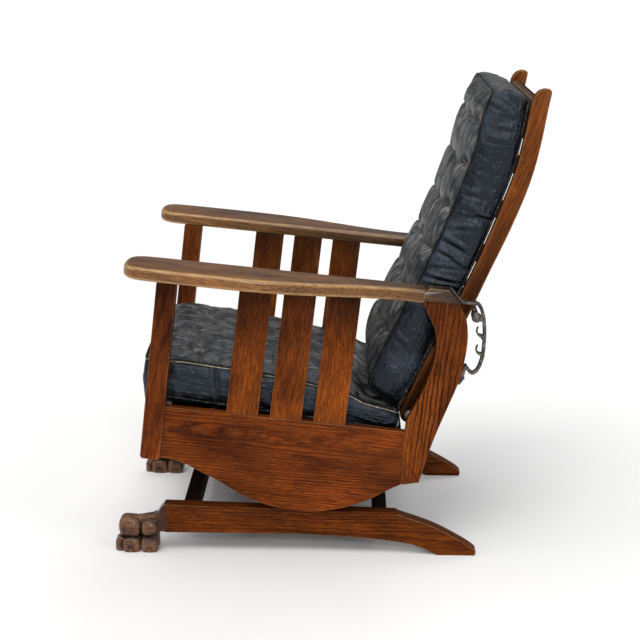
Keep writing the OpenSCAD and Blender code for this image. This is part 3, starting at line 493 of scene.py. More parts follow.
def iron(add, dark, middle, light, rough):
    """Old cast iron or steel: near black, with grey rubbed places and a rough skin of about 1 mm grit."""
    at = add("TexCoord").outputs["Object"]
    patch = add("TexNoise", {"Vector": at, "Scale": 70.0, "Detail": 4.0, "Roughness": 0.6})
    grit = add("TexNoise", {"Vector": at, "Scale": 620.0, "Detail": 2.0})
    return {"Base Color": add("ValToRGB", [patch], ramp=[(0.32, dark), (0.52, middle), (0.70, light)]),
            "Roughness": add("Math", [patch, 0.3, rough], operation="MULTIPLY_ADD"), "Metallic": 0.75,
            "Normal": add("Bump", {"Height": grit, "Strength": 0.4, "Distance": 0.0005})}


def dress_iron(node, kind, bevel=0.0):
    """Replaces one CAD node of iron or steel by a copy with whole faces and its edges rounded by so many mm."""
    mesh = shaped_copy(node, bevel * MM, 3, shortest=0.0012, sharp=35.0)
    body = body_of(frame["nodes"][node])[0]
    new_piece("iron_" + node, mesh, body, finish(kind), node)


# Cushions

# The front edge of the stiles as shares of their sweep and height above the pivots
STILE_FRONT = [(-0.107, 0), (0.135, 0.195), (0.39, 0.392), (0.543, 0.528), (0.684, 0.677), (0.755, 0.768),
               (0.79, 0.86), (0.815, 0.95)]
# The seat cushion's front, rear and underside, in seat mm
SEAT_FRONT, SEAT_REAR, SEAT_BASE = -367.0, 214.0, 204.3
# Each cushion's half width and length, its rings, its end bulges, and the share by which its ends draw in; then its
# tufts' first row, step between rows, rows, step across and tufts in a row. Lengths are in mm
CUSHIONS = {"back": (238.0, 713.0, 188, (2.0, 13.0), 0.05, (PIVOT[1] + 137.0, 104.0, 6, 127.0, 4)),
            "seat": (262.0, 581.0, 136, (6.0, 5.0), 0.022, (SEAT_FRONT + 112.0, 112.0, 4, 132.0, 4))}
# Grid columns on a cushion's face, on each boxed side and on its rear, and rings in each closed end
FACE_COLUMNS, SIDE_COLUMNS, REAR_COLUMNS, END_RINGS = 72, 16, 14, 9
# How the cushions are blown up: steps, pressure, the hide's growth as a share, and the furthest a point may move in m
SWELLING = {"frames": 16, "pressure": 3.0, "growth": 0.035, "cap": 0.009}


def stile_edge(z):
    """How far back the front edge of the stiles lies at a height, and how much it leans there."""
    line = curve(STILE_FRONT, 3) * [STILE_SWEEP, STILE_H] + PIVOT
    x = np.interp(z, line[:, 1], line[:, 0])
    lean = np.arctan((np.interp(z + 5, line[:, 1], line[:, 0]) - np.interp(z - 5, line[:, 1], line[:, 0])) / 10)
    return x, lean


def tuft_places(first, step, rows, pitch, count):
    """Sewn tufts in straight rows, as (along, across) in mm."""
    along, across = np.meshgrid(first + np.arange(rows) * step, (2 * np.arange(count) - count + 1) * pitch / 2,
                                indexing="ij")
    return np.stack([along.ravel(), across.ravel()], axis=1)


def pleat_lines(along, across, layout, upward):
    """Coordinates that follow the pleats: a line of constant u runs into a tuft and fans out from it.

    u = (across - tuft) / (0.2 + t), with t the distance from the row in steps: from the row below only, where the
    pleats fan upward, or from the nearest row on both sides. Gives u in mm, t, and the row and column's numbers.
    """
    first, step, rows, pitch, count = layout
    row = (along - first) / step
    base = np.clip(np.floor(row) if upward else np.round(row), 0 if not upward else -1, rows - 1)
    t = np.abs(row - base)
    column = np.clip(np.round(across / pitch + (count - 1) / 2), 0, count - 1)
    offset = across - (column - (count - 1) / 2) * pitch
    return offset / (0.2 + np.minimum(t, 1.0)), t, base, column


def smooth_noise(x, y, seed, count=7):
    """Gentle folds in every direction: a sum of sines with seeded directions and phases, about -1 to 1."""
    rng = np.random.default_rng(seed)
    total = np.zeros(np.broadcast(x, y).shape)
    for _ in range(count):
        a, k, phase = rng.uniform(0, np.pi), rng.uniform(0.7, 1.5), rng.uniform(0, 2 * np.pi)
        total = total + np.sin(k * (x * np.cos(a) + y * np.sin(a)) + phase)
    return total / math.sqrt(count) * 0.8


def between(share, *points):
    """The value at a share of a smooth line through (share, value) points."""
    return np.interp(share, *curve(points, 4).T)


class Cushion:
    """A boxed cushion as one grid of points: rings round its width, from one end to the other, with both ends closed.

    A ring runs across the face, down one boxed side, back across the rear and up the other side. In a ring the face
    point at share q across, from -1 to 1, is middle + q * half width across + out * (thickness + crown * (1 - q**4)
    - tufts and creases), and a side bulges by puff * sin(pi * depth share). The ends close on the line between face
    and rear, bulging along the cushion by end puff * sin(pi/2 * share).
    """

    def __init__(self, kind, look):
        back = kind == "back"
        half, length, stations, self.end_puff, draw_in, layout = CUSHIONS[kind]
        self.stations, self.tufts = stations, tuft_places(*layout)
        first, step, rows_of_tufts, _, _ = layout
        q_face = np.linspace(-1, 1, FACE_COLUMNS + 1)
        # Finer near the seams
        q_face = q_face * (1.0 - 0.06 * (1 - q_face ** 2))
        depth = np.linspace(1, 0, SIDE_COLUMNS + 2)[1:-1]
        q_rear = np.sin(np.pi / 2 * np.linspace(1, -1, REAR_COLUMNS + 1))
        q = np.concatenate([q_face, np.ones(SIDE_COLUMNS), q_rear, -np.ones(SIDE_COLUMNS)])
        h = np.concatenate([np.ones(FACE_COLUMNS + 1), depth, np.zeros(REAR_COLUMNS + 1), depth[::-1]])
        on_face, on_side = h == 1, (h > 0) & (h < 1)
        s = np.linspace(0, 1, stations)
        S, Q = np.meshgrid(s - 0.012 * np.sin(2 * np.pi * s), q, indexing="ij")
        H = np.broadcast_to(h, S.shape)
        face_share = np.where(H == 1, 1.0, 0.0)
        ends = 1 - np.abs(2 * S - 1) ** 14
        w = half * (1 - draw_in * (1 - ends))
        place = self.lie_on_stiles if back else self.lie_on_seat
        along, base, out, box, crown, under, sag, puff, pucker = place(S, H, ends, length, look)
        # The front seam wanders where the tufts pull at it
        pull = face_share * np.sign(Q) * np.abs(Q) ** 6
        across = Q * w - pull * (2.6 * np.cos(2 * np.pi * (along - first) / step) + 1.2 * np.sin(along / 17.0))
        plan = np.stack([along, across], -1)
        near = np.exp(-((np.linalg.norm(plan[..., None, :] - self.tufts, axis=-1).min(-1)) / 19.0) ** 2)
        # A sewn fold runs across at each row, and shallow valleys part the fans
        row = np.clip(np.round((along - first) / step), 0, rows_of_tufts - 1)
        bend = 5.0 * np.sin(across / 31.0 + row * 2.1) + 3.0 * np.sin(across / 13.0 + row)
        crease = np.exp(-np.abs(along - first - row * step - bend) / 7.0)
        u, t, base_row, column = pleat_lines(along, across, layout, back)
        fans = np.sin(u / 5.2 + 1.7 * column + 2.3 * base_row) + 0.6 * np.sin(u / 2.9 + column * 4.1)
        fans = fans * (np.clip(t / 0.35, 0, 1) * np.exp(-(t / 0.9) ** 4))
        dip = look.tuft_depth / MM * near + look.crease_depth / MM * crease * (1.0 if back else 0.35)
        if back:
            drape = smooth_noise(along / 45.0, across / 9.0, 3) * 0.9
        else:
            drape = smooth_noise(along / 9.0, across / 45.0, 4) * 0.9
            # The top is plain where it lies under the back cushion
            show = np.interp(S, [0, 0.06, 0.78, 0.86], [0.3, 1, 1, 0])
            dip, fans, crease = dip * show, fans * show, crease * show
        relief = (dip - fans * 1.3 - drape) * ends * np.minimum(1, (1 - np.abs(Q)) * 9)
        rear = -(under + sag * (1 - np.abs(Q) ** 40)) * (1 - np.abs(Q) ** 90)
        rise = np.where(H == 1, crown * (1 - Q ** 4) - relief, np.where(H == 0, rear, 0.0))
        folds = self.side_folds(S, H, length, box, back)
        cloud = smooth_noise(S * length / 30.0, H * box / 22.0, 31 if back else 32, 9) * 3.4
        bulge = puff * np.sin(np.pi * H) ** 0.8
        bulge = bulge + (pucker * folds + cloud) * np.sin(np.pi * np.clip(H, 0.04, 0.96)) ** 0.5
        p = base + out * (H * box + rise)[..., None]
        grid = from_seat(p[..., 0], across + np.where(on_side[None], np.sign(Q) * bulge, 0.0), p[..., 1])
        self.points = self.close_ends(grid, base + out * (box * 0.5)[..., None], across)
        # What each point belongs to, for the leather and for the simulation
        none = near[0] * 0
        self.plan = self.spread(plan, plan[0], plan[-1]).reshape(-1, 2)
        self.face = self.spread(face_share, face_share[0] * 0.4, np.where(on_face, 0.8, 0.55)).ravel()
        self.near = self.spread(np.maximum(near, 0.5 * crease) * face_share, none, none).ravel()
        # The folds' shape, which the leather turns into painted shade in their valleys and a paler rub, also a painted
        # highlight, on their ridges
        self.fold = self.spread(fans * 0.6 * face_share + folds * on_side[None], none, none).ravel()
        # Coordinates for the finish: pleat lines on the face, plain distances elsewhere, and depth
        girth = np.concatenate([[0], np.cumsum(np.linalg.norm(np.diff(grid[stations // 2], axis=0), axis=1))])
        line_u = np.where(on_face[None], (u + 900 * column) * MM, girth[None] + 3.0)
        line_v = np.where(on_face[None], (along + 70 * base_row) * MM, S * length * MM)
        lines = np.stack([line_v, line_u, H * 0.1], axis=-1)
        self.cloth = self.spread(lines, lines[0], lines[-1]).reshape(-1, 3)
        ring = np.arange(END_RINGS)
        self.cloth[:, 2] += np.repeat(np.concatenate([ring[::-1], np.zeros(stations), ring]), len(q)) * 0.006
        # How firmly each point is held while the cushion swells: seams, tufts, the rear, and one end
        hold = np.where(H == 0, 1.0, 0.0) + face_share * (near ** 3 + 0.8 * (np.abs(Q) > 0.995)) + 0.35 * on_side[None]
        hold = hold + (np.interp(S, [0, 0.10, 0.2], [1, 0.9, 0]) if back
                       else np.interp(S, [0, 0.66, 0.76, 1], [0, 0, 1, 1]))
        self.hold = np.clip(self.spread(hold, none + 0.9, none + 0.8), 0, 1).ravel()

    def lie_on_stiles(self, S, H, ends, length, look):
        """The back cushion's rear follows the stiles' front edges; its box tapers towards both ends.

        Gives the place along, the rear line and the way out from it, the box's depth, the face's crown, how far the
        rear stands out and sags, and how far the sides bulge and their folds stand out.
        """
        # The rear edge reaches lower than the face's, down to the seat cushion beside the pivots
        z = PIVOT[1] + 19 + length * S - 11 * (1 - H) * (1 - S) ** 8
        x, lean = stile_edge(z)
        lean = np.maximum(lean, math.radians(12))
        out = np.stack([-np.cos(lean), np.sin(lean)], axis=-1)
        crown = look.back_crown / MM * (1 - np.abs(2 * S - 1) ** 8)
        none = np.zeros_like(S)
        return (z, np.stack([x, z], axis=-1) + out * 5.3, out, 94.0 * (1 - 0.13 * (1 - ends)), crown, none, none,
                9.0, look.pucker / MM)

    def lie_on_seat(self, S, H, ends, length, look):
        """The seat cushion lies on the slats and thins out under the back; its underside sags between the slats.

        Gives the same as lie_on_stiles.
        """
        x = SEAT_FRONT + (SEAT_REAR - SEAT_FRONT) * S
        seam = between(S, (0, 1), (0.35, 0.96), (0.62, 0.85), (0.80, 0.68), (0.86, 0.56), (1, 0.44))
        swell = between(S, (0, 0.3), (0.05, 1.05), (0.14, 1.35), (0.3, 1.25), (0.6, 0.97), (0.8, 0.7), (0.86, 0.22),
                        (0.9, 0), (1, 0))
        under = 22.0 * between(S, (0, 1), (0.35, 0.75), (1, 0.3))
        slats = sorted((reach.min(), reach.max()) for reach in (
            along_seat(read_points(frame["nodes"][node].data)) for node in nodes_like("seat_slat")))
        gaps = [(x - rear) / (front - rear) for (_, rear), (front, _) in zip(slats, slats[1:])]
        sag = 9.0 * (sum(np.sin(np.pi * np.clip(gap, 0, 1)) ** 0.7 for gap in gaps)
                     + np.exp(-((x - slats[0][0] + 22) / 9.0) ** 4))
        out = np.stack([-0.09 * (1 - S) ** 4, np.ones_like(S)], axis=-1)
        return (x, np.stack([x, SEAT_BASE + under], axis=-1), out, (107.0 * seam - under) * (1 - 0.07 * (1 - ends)),
                look.seat_crown / MM * swell, under, sag, 8.0, look.pucker / MM * 0.5)

    def side_folds(self, S, H, length, box, back):
        """Pinched folds across the boxed sides: each a sharp valley beside a rounded ridge, deepest at one seam.

        A fold at distance d is -deep * exp(-|d| / width) + 0.85 deep * exp(-((d - 1.8 width) / 1.2 width)**2).
        """
        rng = np.random.default_rng(11 if back else 12)
        folds = np.zeros_like(S)
        places = np.cumsum(rng.uniform(13, 34, 34)) - 15
        for place in places[places < length]:
            width, deep, lean_in = rng.uniform(3.5, 6.5), rng.uniform(0.35, 1.0), rng.uniform(-0.35, 0.35)
            weight = np.interp(place / length, [0, 0.25, 0.42, 0.62, 0.75, 1],
                               [0.45, 0.5, 1.0, 1.0, 0.4, 0.3]) if back else 0.4
            reach, bend = rng.choice([0.5, 0.8, 1.8]), rng.uniform(-16, 16)
            from_seam = 1 - H if rng.random() < 0.45 else H
            d = S * length - place - lean_in * (1 - H) * box + bend * H * (1 - H)
            shape = 0.85 * np.exp(-((d - 1.8 * width) / (1.2 * width)) ** 2) - np.exp(-np.abs(d) / width)
            folds += weight * deep * shape * np.exp(-(from_seam / reach) ** 2)
        if not back:
            # One pinch where the boxing was gathered: a ridge between two valleys
            d = S * length - 150 - 14 * (1 - H) ** 2
            folds += 1.5 * np.exp(-(d / 3.4) ** 2)
            folds -= 1.5 * np.exp(-np.abs(d - 9) / 3.4) + 0.8 * np.exp(-np.abs(d + 8) / 3.0)
        return folds

    def close_ends(self, grid, spine, across):
        """Closes both ends with rings that shrink towards the line between face and rear, a little wavy."""
        caps = []
        shares = np.linspace(1, 0, END_RINGS + 1)[1:]
        for end, sign, puff in ((0, -1, self.end_puff[0]), (-1, 1, self.end_puff[1])):
            line = from_seat(spine[end, :, 0], across[end] * 0.94, spine[end, :, 1])
            direction = grid[end].mean(0) - grid[end - sign * 6].mean(0)
            direction /= np.linalg.norm(direction)
            swell = np.sin(np.pi / 2 * (1 - shares) ** 0.6) * puff * MM
            wave = smooth_noise(np.linspace(0, 44, grid.shape[1])[None], shares[:, None] * 5, 21 + sign, 8) * 2.2 * MM
            push = swell[:, None] + wave * np.sin(np.pi * shares)[:, None]
            caps.append(line + (grid[end] - line) * shares[:, None, None] + push[..., None] * direction)
        return np.concatenate([caps[0][::-1], grid, caps[1]]).reshape(-1, 3)

    def spread(self, values, low, high):
        """Values for the whole grid, with one ring's values for all of the low end and one for the high end."""
        return np.concatenate([np.repeat(low[None], END_RINGS, 0), values, np.repeat(high[None], END_RINGS, 0)])

    def faces(self):
        """The quads between the rings and over both ends."""
        rows = self.stations + 2 * END_RINGS
        return grid_faces(rows, len(self.points) // rows).tolist()

    def seam(self, points, which):
        """Points once round a sewn seam: the face's edge (front), or the rear's (rear)."""
        grid = points.reshape(self.stations + 2 * END_RINGS, -1, 3)
        first, last = END_RINGS, END_RINGS + self.stations - 1
        start = FACE_COLUMNS + SIDE_COLUMNS + 1
        low, high = (0, FACE_COLUMNS) if which == "front" else (start, start + REAR_COLUMNS)
        columns, rows = np.arange(low, high), np.arange(first, last)
        return np.concatenate([grid[first, columns], grid[rows, high], grid[last, columns[::-1] + 1],
                               grid[rows[::-1] + 1, low]])


def swell_cloth(piece, hold, frames, pressure, growth, cap):
    """Blows the cushion up as cloth, with its seams, tufts and rear held, and keeps each point within the cap."""
    scene = bpy.context.scene
    rest = read_points(piece.data)
    group = piece.vertex_groups.new(name="held")
    levels = np.round(hold * 10) / 10
    for level in np.unique(levels[levels > 0]):
        group.add(np.nonzero(levels == level)[0].tolist(), float(level), "REPLACE")
    cloth = piece.modifiers.new("Swell", "CLOTH")
    for name, value in {"quality": 4, "mass": 0.35, "tension_stiffness": 14.0, "compression_stiffness": 14.0,
                        "shear_stiffness": 6.0, "bending_stiffness": 0.25, "use_pressure": True,
                        "uniform_pressure_force": pressure, "vertex_group_mass": "held", "pin_stiffness": 1.0,
                        "shrink_min": -growth}.items():
        setattr(cloth.settings, name, value)
    cloth.settings.effector_weights.gravity = 0.0
    cloth.collision_settings.use_collision = False
    cloth.collision_settings.use_self_collision = False
    cloth.point_cache.frame_start = 1
    cloth.point_cache.frame_end = frames
    for f in range(1, frames + 1):
        scene.frame_set(f)
    view = bpy.context.evaluated_depsgraph_get()
    moved = read_points(piece.evaluated_get(view).to_mesh()) - rest
    piece.evaluated_get(view).to_mesh_clear()
    piece.modifiers.remove(cloth)
    piece.vertex_groups.remove(group)
    scene.frame_set(1)
    size = np.linalg.norm(moved, axis=1, keepdims=True)
    return rest + moved * (np.minimum(1, cap / np.maximum(size, 1e-9)) * (1 - hold[:, None] ** 2))


def leather(add, look):
    """Old blue-black upholstery hide, waxed on the boxed sides and rubbed grey on the face.

    The eye sees a soft gloss broken by creases, thin cream lines where the finish has cracked on the pleats, grey
    bloom on what is leant on, and a pebble of about 1.5 mm, drawn coarser than it is. The folds' valleys are painted
    near black as shade, and their ridges paler, as rubbed hide that also paints their highlight.
    """
    cloth, marks = (add("Attribute", attribute_name=name).outputs["Vector"] for name in ("cloth", "marks"))
    face, fold, tuft = add("SeparateXYZ", [marks]).outputs
    at = add("TexCoord").outputs["Object"]
    wander = add("TexNoise", {"Vector": at, "Scale": 30.0, "Detail": 2.0}).outputs["Color"]
    shift = add("VectorMath", {0: wander, "Scale": 0.007}, operation="SCALE")
    warped = add("VectorMath", [cloth, shift], operation="ADD")
    # Noises: the place they follow, waves in a metre, detail and roughness
    pleats, fine, sides, cloud, crumple, bloom, wrinkle = [
        add("TexNoise", {"Vector": add("Mapping", {"Vector": place, "Scale": scale}), "Scale": 1.0, "Detail": detail,
                         "Roughness": rough})
        for place, scale, detail, rough in (
            (warped, (6, 170, 60), 3.0, 0.5), (warped, (20, 330, 120), 2.5, 0.5), (warped, (70, 16, 60), 2.0, 0.5),
            (at, (11, 11, 11), 2.5, 0.5), (at, (60, 60, 60), 3.0, 0.55), (at, (34, 34, 34), 3.0, 0.6),
            (warped, (26, 90, 60), 4.0, 0.55))]
    pebble = add("TexVoronoi", {"Vector": at, "Scale": 560.0})
    # Cracks lie where a noise is close to its middle
    pleat_cracks, fine_cracks, side_cracks = [
        add("ValToRGB", [noise], ramp=[(0.5 - wide, 0.0), (0.5 - wide * 0.2, 1.0), (0.5 + wide * 0.2, 1.0),
                                       (0.5 + wide, 0.0)])
        for noise, wide in ((pleats, 0.060), (fine, 0.045), (sides, 0.018))]
    rubbed = add("MapRange", [bloom, 0.42, 0.62, 0.05, 1.0])
    around = add("Math", [tuft, 1.3], operation="MULTIPLY")
    nearness = add("Math", [around, rubbed], operation="ADD", use_clamp=True)
    # The hide has cracked in a ring round each tuft
    whorl = add("ValToRGB", [tuft], ramp=[(0.58, 0.0), (0.68, 1.0), (0.80, 1.0), (0.90, 0.0)])
    face_lines = add("Math", [pleat_cracks, nearness], operation="MULTIPLY")
    for cracks, amount in ((fine_cracks, add("Math", [nearness, 0.5], operation="MULTIPLY")),
                           (whorl, add("MapRange", [crumple, 0.42, 0.6, 0.1, 0.9]))):
        more = add("Math", [cracks, amount], operation="MULTIPLY")
        face_lines = add("Math", [face_lines, more], operation="MAXIMUM")
    side_lines = add("Math", [side_cracks, add("MapRange", [cloud, 0.52, 0.64, 0.0, 0.2])], operation="MULTIPLY")
    lines = add("Mix", {0: face, 2: side_lines, 3: face_lines}, data_type="FLOAT")
    # The folds' ridges are rubbed paler, which also paints their highlight
    ridge = add("Math", [add("MapRange", [fold, 0.15, 0.9]), bloom], operation="MULTIPLY", use_clamp=True)
    ridge = add("Math", [ridge, 0.3], operation="MULTIPLY")
    ridge = add("Math", [ridge, add("MapRange", [face, 0.0, 1.0, 1.3, 1.0])], operation="MULTIPLY")
    colour = add("ValToRGB", [cloud], ramp=[(0.36, look.dark), (0.54, look.side), (0.70, look.bloom)])
    rubbed_face = add("ValToRGB", [bloom], ramp=[(0.36, look.side), (0.52, look.face), (0.72, look.rubbed)])
    # Over the hide: the rubbed face, the cracks, the paler fold ridges, and painted shade, near black, in the folds'
    # valleys
    for amount, over in ((face, rubbed_face), (add("Math", [lines, 0.75], operation="MULTIPLY"), look.crack),
                         (ridge, look.rubbed), (add("MapRange", [fold, -0.12, -0.7, 0.0, 0.9]), look.dark)):
        colour = add("Mix", {0: amount, 6: colour, 7: over}, data_type="RGBA")
    rough = add("Math", [add("MapRange", [cloud, 0.35, 0.65, 0.15, 0.36]),
                         add("Math", [face, 0.12], operation="MULTIPLY")], operation="ADD", use_clamp=True)
    parts = [add("Math", [part, amount], operation="MULTIPLY")
             for part, amount in ((wrinkle, 1.2), (crumple, 0.8), (lines, -0.3), (pebble, 0.10))]
    height = add("Math", [add("Math", parts[:2], operation="ADD"), add("Math", parts[2:], operation="ADD")],
                 operation="ADD")
    return {"Base Color": colour, "Roughness": rough,
            "Normal": add("Bump", {"Height": height, "Strength": 0.9, "Distance": 0.0030}), "IOR": 1.45,
            "Specular IOR Level": 0.6, "Specular Tint": "#c2d0e4", "Coat Weight": 0.06, "Coat Roughness": 0.25}


def welt(add, dark, middle, pale, low, high):
    """Piping cord under hide: the dye has gone from its crown, in a twist of about 5 mm."""
    noise = add("TexNoise", {"Vector": add("TexCoord").outputs["Object"], "Scale": 130.0, "Detail": 3.0,
                             "Roughness": 0.7})
    return {"Base Color": add("ValToRGB", [noise], ramp=[(low, dark), ((low + high) / 2, middle), (high, pale)]),
            "Roughness": add("MapRange", {0: noise, 3: 0.4, 4: 0.75}), "IOR": 1.45, "Specular IOR Level": 0.2,
            "Normal": add("Bump", {"Height": noise, "Strength": 0.6, "Distance": 0.001})}


MADE = {}


def finish(kind):
    """The material of a finish, made once."""
    if kind not in MADE:
        scene = bpy.context.scene
        wood, metal, hide = scene.rocker_wood, scene.rocker_iron, scene.rocker_leather
        ring = wood.ring_mm
        # Oak: colours of ring line, dark, middle and light fibres and wear, ring width in mm, roughness, strength of
        # the figure and of the wear, and for some their gloss and dust
        recipes = {
            "oak": ("varnished_oak", oak, "#2a0d03", wood.dark, wood.middle, wood.light, "#b08052", ring, 0.34, 0.8,
                    0.6),
            "oak_post": ("striped_oak", oak, "#230a02", "#5e2a0b", "#854312", "#b0621e", "#b08052", ring * 1.6, 0.32,
                         1.0, 0.5),
            "oak_slat": ("slat_oak", oak, "#401a06", "#5e2a0b", "#834312", "#a35a1e", "#c09060", ring * 0.9, 0.34,
                         0.4, 0.5),
            # Paler than the slat oak: painted light on the far arm's slats
            "oak_far_lit": ("far_oak", oak, "#4a2408", "#6a3410", "#8a4c18", "#a46428", "#c09060", ring * 0.9, 0.36, 0.4,
                        0.5),
            "oak_stile": ("plain_oak", oak, "#3a1a0a", "#4a2610", "#6b3b16", "#844c1e", "#b08052", ring, 0.34, 0.35,
                          0.5),
            "oak_base": ("base_oak", oak, "#200a02", "#3e1903", "#622f08", "#864812", "#a98a60", ring * 1.1, 0.36,
                         0.9, 0.6),
            # Near black: painted shade on the rails, cleats and slats inside the frame and behind and under the
            # cushions
            "oak_inner": ("shaded_oak", oak, "#0c0705", "#0c0705", "#1c110b", "#2e1d13", "#5d4a3c", ring, 0.55, 0.5,
                          0.35),
            "oak_arms": ("hand_worn_oak", oak, "#3c2210", "#543416", "#775029", "#9a6e3a", "#c49a64", ring * 0.9,
                         0.22, 0.7, 0.9, 0.5),
            "oak_worn": ("dusty_oak", oak, "#2c1d13", "#2c1d13", "#553f2e", "#75604c", "#a09078", ring * 0.8, 0.45,
                         0.6, 0.8, 0.03, 0.25),
            "oak_feet": ("carved_oak", oak, "#1a0b04", "#2e1608", "#54290f", "#74421f", "#86684f", ring, 0.20, 0.5,
                         0.55, 0.35),
            # Iron: dark, middle and light colour, and least roughness
            "cast_iron": ("old_cast_iron", iron, metal.dark, "#55504a", metal.rubbed, 0.30),
            "dark_steel": ("turned_steel", iron, "#2f2c29", "#5f5a54", "#989188", 0.24),
            "hide": ("tufted_hide", leather, hide),
            # Piping: dark, middle and pale colour, and where in the noise they start and end
            "black_welt": ("black_welt", welt, "#050506", "#0b0c0e", "#3c3c3a", 0.40, 0.72),
            "rubbed_welt": ("rubbed_welt", welt, "#4a443a", "#7d7463", "#b8ae96", 0.34, 0.62),
            "cord_welt": ("cord_welt", welt, "#0c0d0f", "#2b2a28", "#77736a", 0.40, 0.72)}
        MADE[kind] = new_material(*recipes[kind])
    return MADE[kind]


def button_row(kind, shape, points):
    """Small covered buttons sunk in the tufts: each a low dome, height = rise * sqrt(1 - (r / radius)**2)."""
    near = np.linalg.norm(shape.plan[:, None] - shape.tufts[None], axis=2)
    near[shape.face < 0.99] = 1e6
    sides, rise, radius = 20, 0.0026, 0.0062
    turn = np.linspace(0, 2 * np.pi, sides, endpoint=False)
    out = OUT_BACK * -1 if kind == "back" else UP_SEAT
    circle = np.outer(np.cos(turn), ACROSS) + np.outer(np.sin(turn), np.cross(out, ACROSS))
    # Rings as (height, radius): a foot in the hide, then the dome up to its crown
    rings = [(-0.004, radius * 0.85)] + [(rise * math.cos(a), radius * max(math.sin(a), 0.02))
                                         for a in np.linspace(0, np.pi / 2, 6)[::-1]]
    faces = grid_faces(len(rings), sides).tolist()
    faces += [tuple(range(sides))[::-1], tuple(range((len(rings) - 1) * sides, len(rings) * sides))]
    parts = []
    for k, (along, _) in enumerate(shape.tufts):
        # No button where the back cushion hides the seat's tufts
        if near[:, k].min() > 9 or (kind == "seat" and along > SEAT_REAR - 150):
            continue
        centre = points[near[:, k].argmin()] + out * 0.001
        parts.append((np.vstack([centre + out * height + width * circle for height, width in rings]), faces))
    outward(new_piece(kind + "_cushion_buttons", join(*parts), kind, finish("black_welt")))


def make_cushion(kind, widest, welts):
    """One boxed cushion with its welts and buttons, swollen as cloth.

    It stays within widest metres of the middle. Each welt is its seam, radius, finish and lift along the seat's up.
    """
    shape = Cushion(kind, bpy.context.scene.rocker_leather)
    piece = new_piece(kind + "_cushion_leather", (shape.points, shape.faces()), kind, finish("hide"),
                      kind + "_cushion")
    # The ends close on a line, so the grid keeps its count until the swelling is done
    points = shape.points
    points = swell_cloth(piece, shape.hold, **SWELLING)
    points[:, 1] = np.clip(points[:, 1], -widest, widest)
    piece.data.vertices.foreach_set("co", points.astype(np.float32).ravel())
    write_attribute(piece.data, "cloth", shape.cloth)
    write_attribute(piece.data, "marks", np.stack([shape.face, np.clip(shape.fold, -1, 1), shape.near], axis=1))
    outward(piece)
    smooth = piece.modifiers.new("Smooth", "SUBSURF")
    smooth.levels = smooth.render_levels = 1
    for number, (which, radius, material, lift) in enumerate(welts, 1):
        line = shape.seam(points, which)
        line = (line + 0.5 * (np.roll(line, 1, 0) + np.roll(line, -1, 0))) / 2 + UP_SEAT * lift
        new_piece(f"{kind}_cushion_welt_{number}", round_cord(line, radius), kind, finish(material))
    button_row(kind, shape, points)


# Carved feet

# The middle of a base rail across the chair, and the height of a paw's top along it, in mm
PAW_MID_Y = 274.5
PAW_TOP = [(-4, 62), (12, 72), (22, 81), (38, 84), (61, 85.5), (85, 87.5), (97, 92), (106, 106), (115, 116), (124, 116)]


def lobe(p, centre, radii, power=2.5):
    """Signed distance, nearly, from a full lobe, |x/a|**p + |y/b|**p + |z/c|**p = 1: below zero inside."""
    q = np.abs((p - np.asarray(centre, float)) / np.asarray(radii, float))
    k = (q ** power).sum(-1) ** (1 / power)
    return (k - 1) * np.min(radii)


def melt(a, b, k):
    """The nearer of two distances, rounded where both are within k of each other."""
    h = np.clip(0.5 + 0.5 * (b - a) / k, 0, 1)
    return b * (1 - h) + a * h - k * h * (1 - h)


def paw_field(p):
    """Signed distance of the paw in mm: a shank, four knuckles and two more in front, over as many toes.

    p is along the runner from the toe tip, across from the rail's middle, and up from the floor.
    """
    x, y, z = p[..., 0], p[..., 1], p[..., 2]
    top = np.interp(x, *np.array(PAW_TOP).T)
    low = np.interp(x, [0, 84, 104, 124], [34, 30, 48, 48])
    mid, half = (top + low) / 2, (top - low) / 2
    wide = np.interp(x, [-4, 16, 60, 92, 112, 124], [8, 14, 16, 18, 19, 18.8])
    power = np.interp(x, [60, 108], [2.6, 9.0])
    ring = (np.abs(y / wide) ** power + np.abs((z - mid) / half) ** power) ** (1 / power)
    shank = np.maximum((ring - 1) * np.minimum(wide, half), 14 - x)
    q = np.stack([x, np.abs(y), z], axis=-1)
    knuckles = melt(lobe(q, (40, 14.0, 58), (20.5, 13, 23)), lobe(q, (80.5, 15.0, 57), (20, 13, 20)), 1.2)
    knuckles = melt(knuckles, lobe(q, (27, 8, 59), (19, 14, 25)), 3.0)
    toes = melt(lobe(q, (38, 16, 16), (21, 13, 20), 3.0), lobe(q, (80, 16, 16), (21, 13, 19), 3.0), 1.2)
    toes = melt(toes, lobe(q, (15, 8.5, 14), (15.5, 11, 20), 2.8), 1.5)
    return melt(melt(shank, knuckles, 3.5), toes, 1.8)


def leaves_at(origin, direction):
    """How far along each ray it leaves the carved form, in mm: stepped in from outside, then halved nine times."""
    step = 1.25
    low = np.full(direction.shape[:2], 2.0)
    outside = np.ones_like(low, bool)
    for reach in np.arange(95.0, 1.0, -step):
        inside = paw_field(origin + direction * reach) < 0
        low[outside & inside] = reach
        outside &= ~inside
    high = low + step
    for _ in range(9):
        middle = (low + high) / 2
        inside = paw_field(origin + direction * middle[..., None]) < 0
        low, high = np.where(inside, middle, low), np.where(inside, high, middle)
    return low


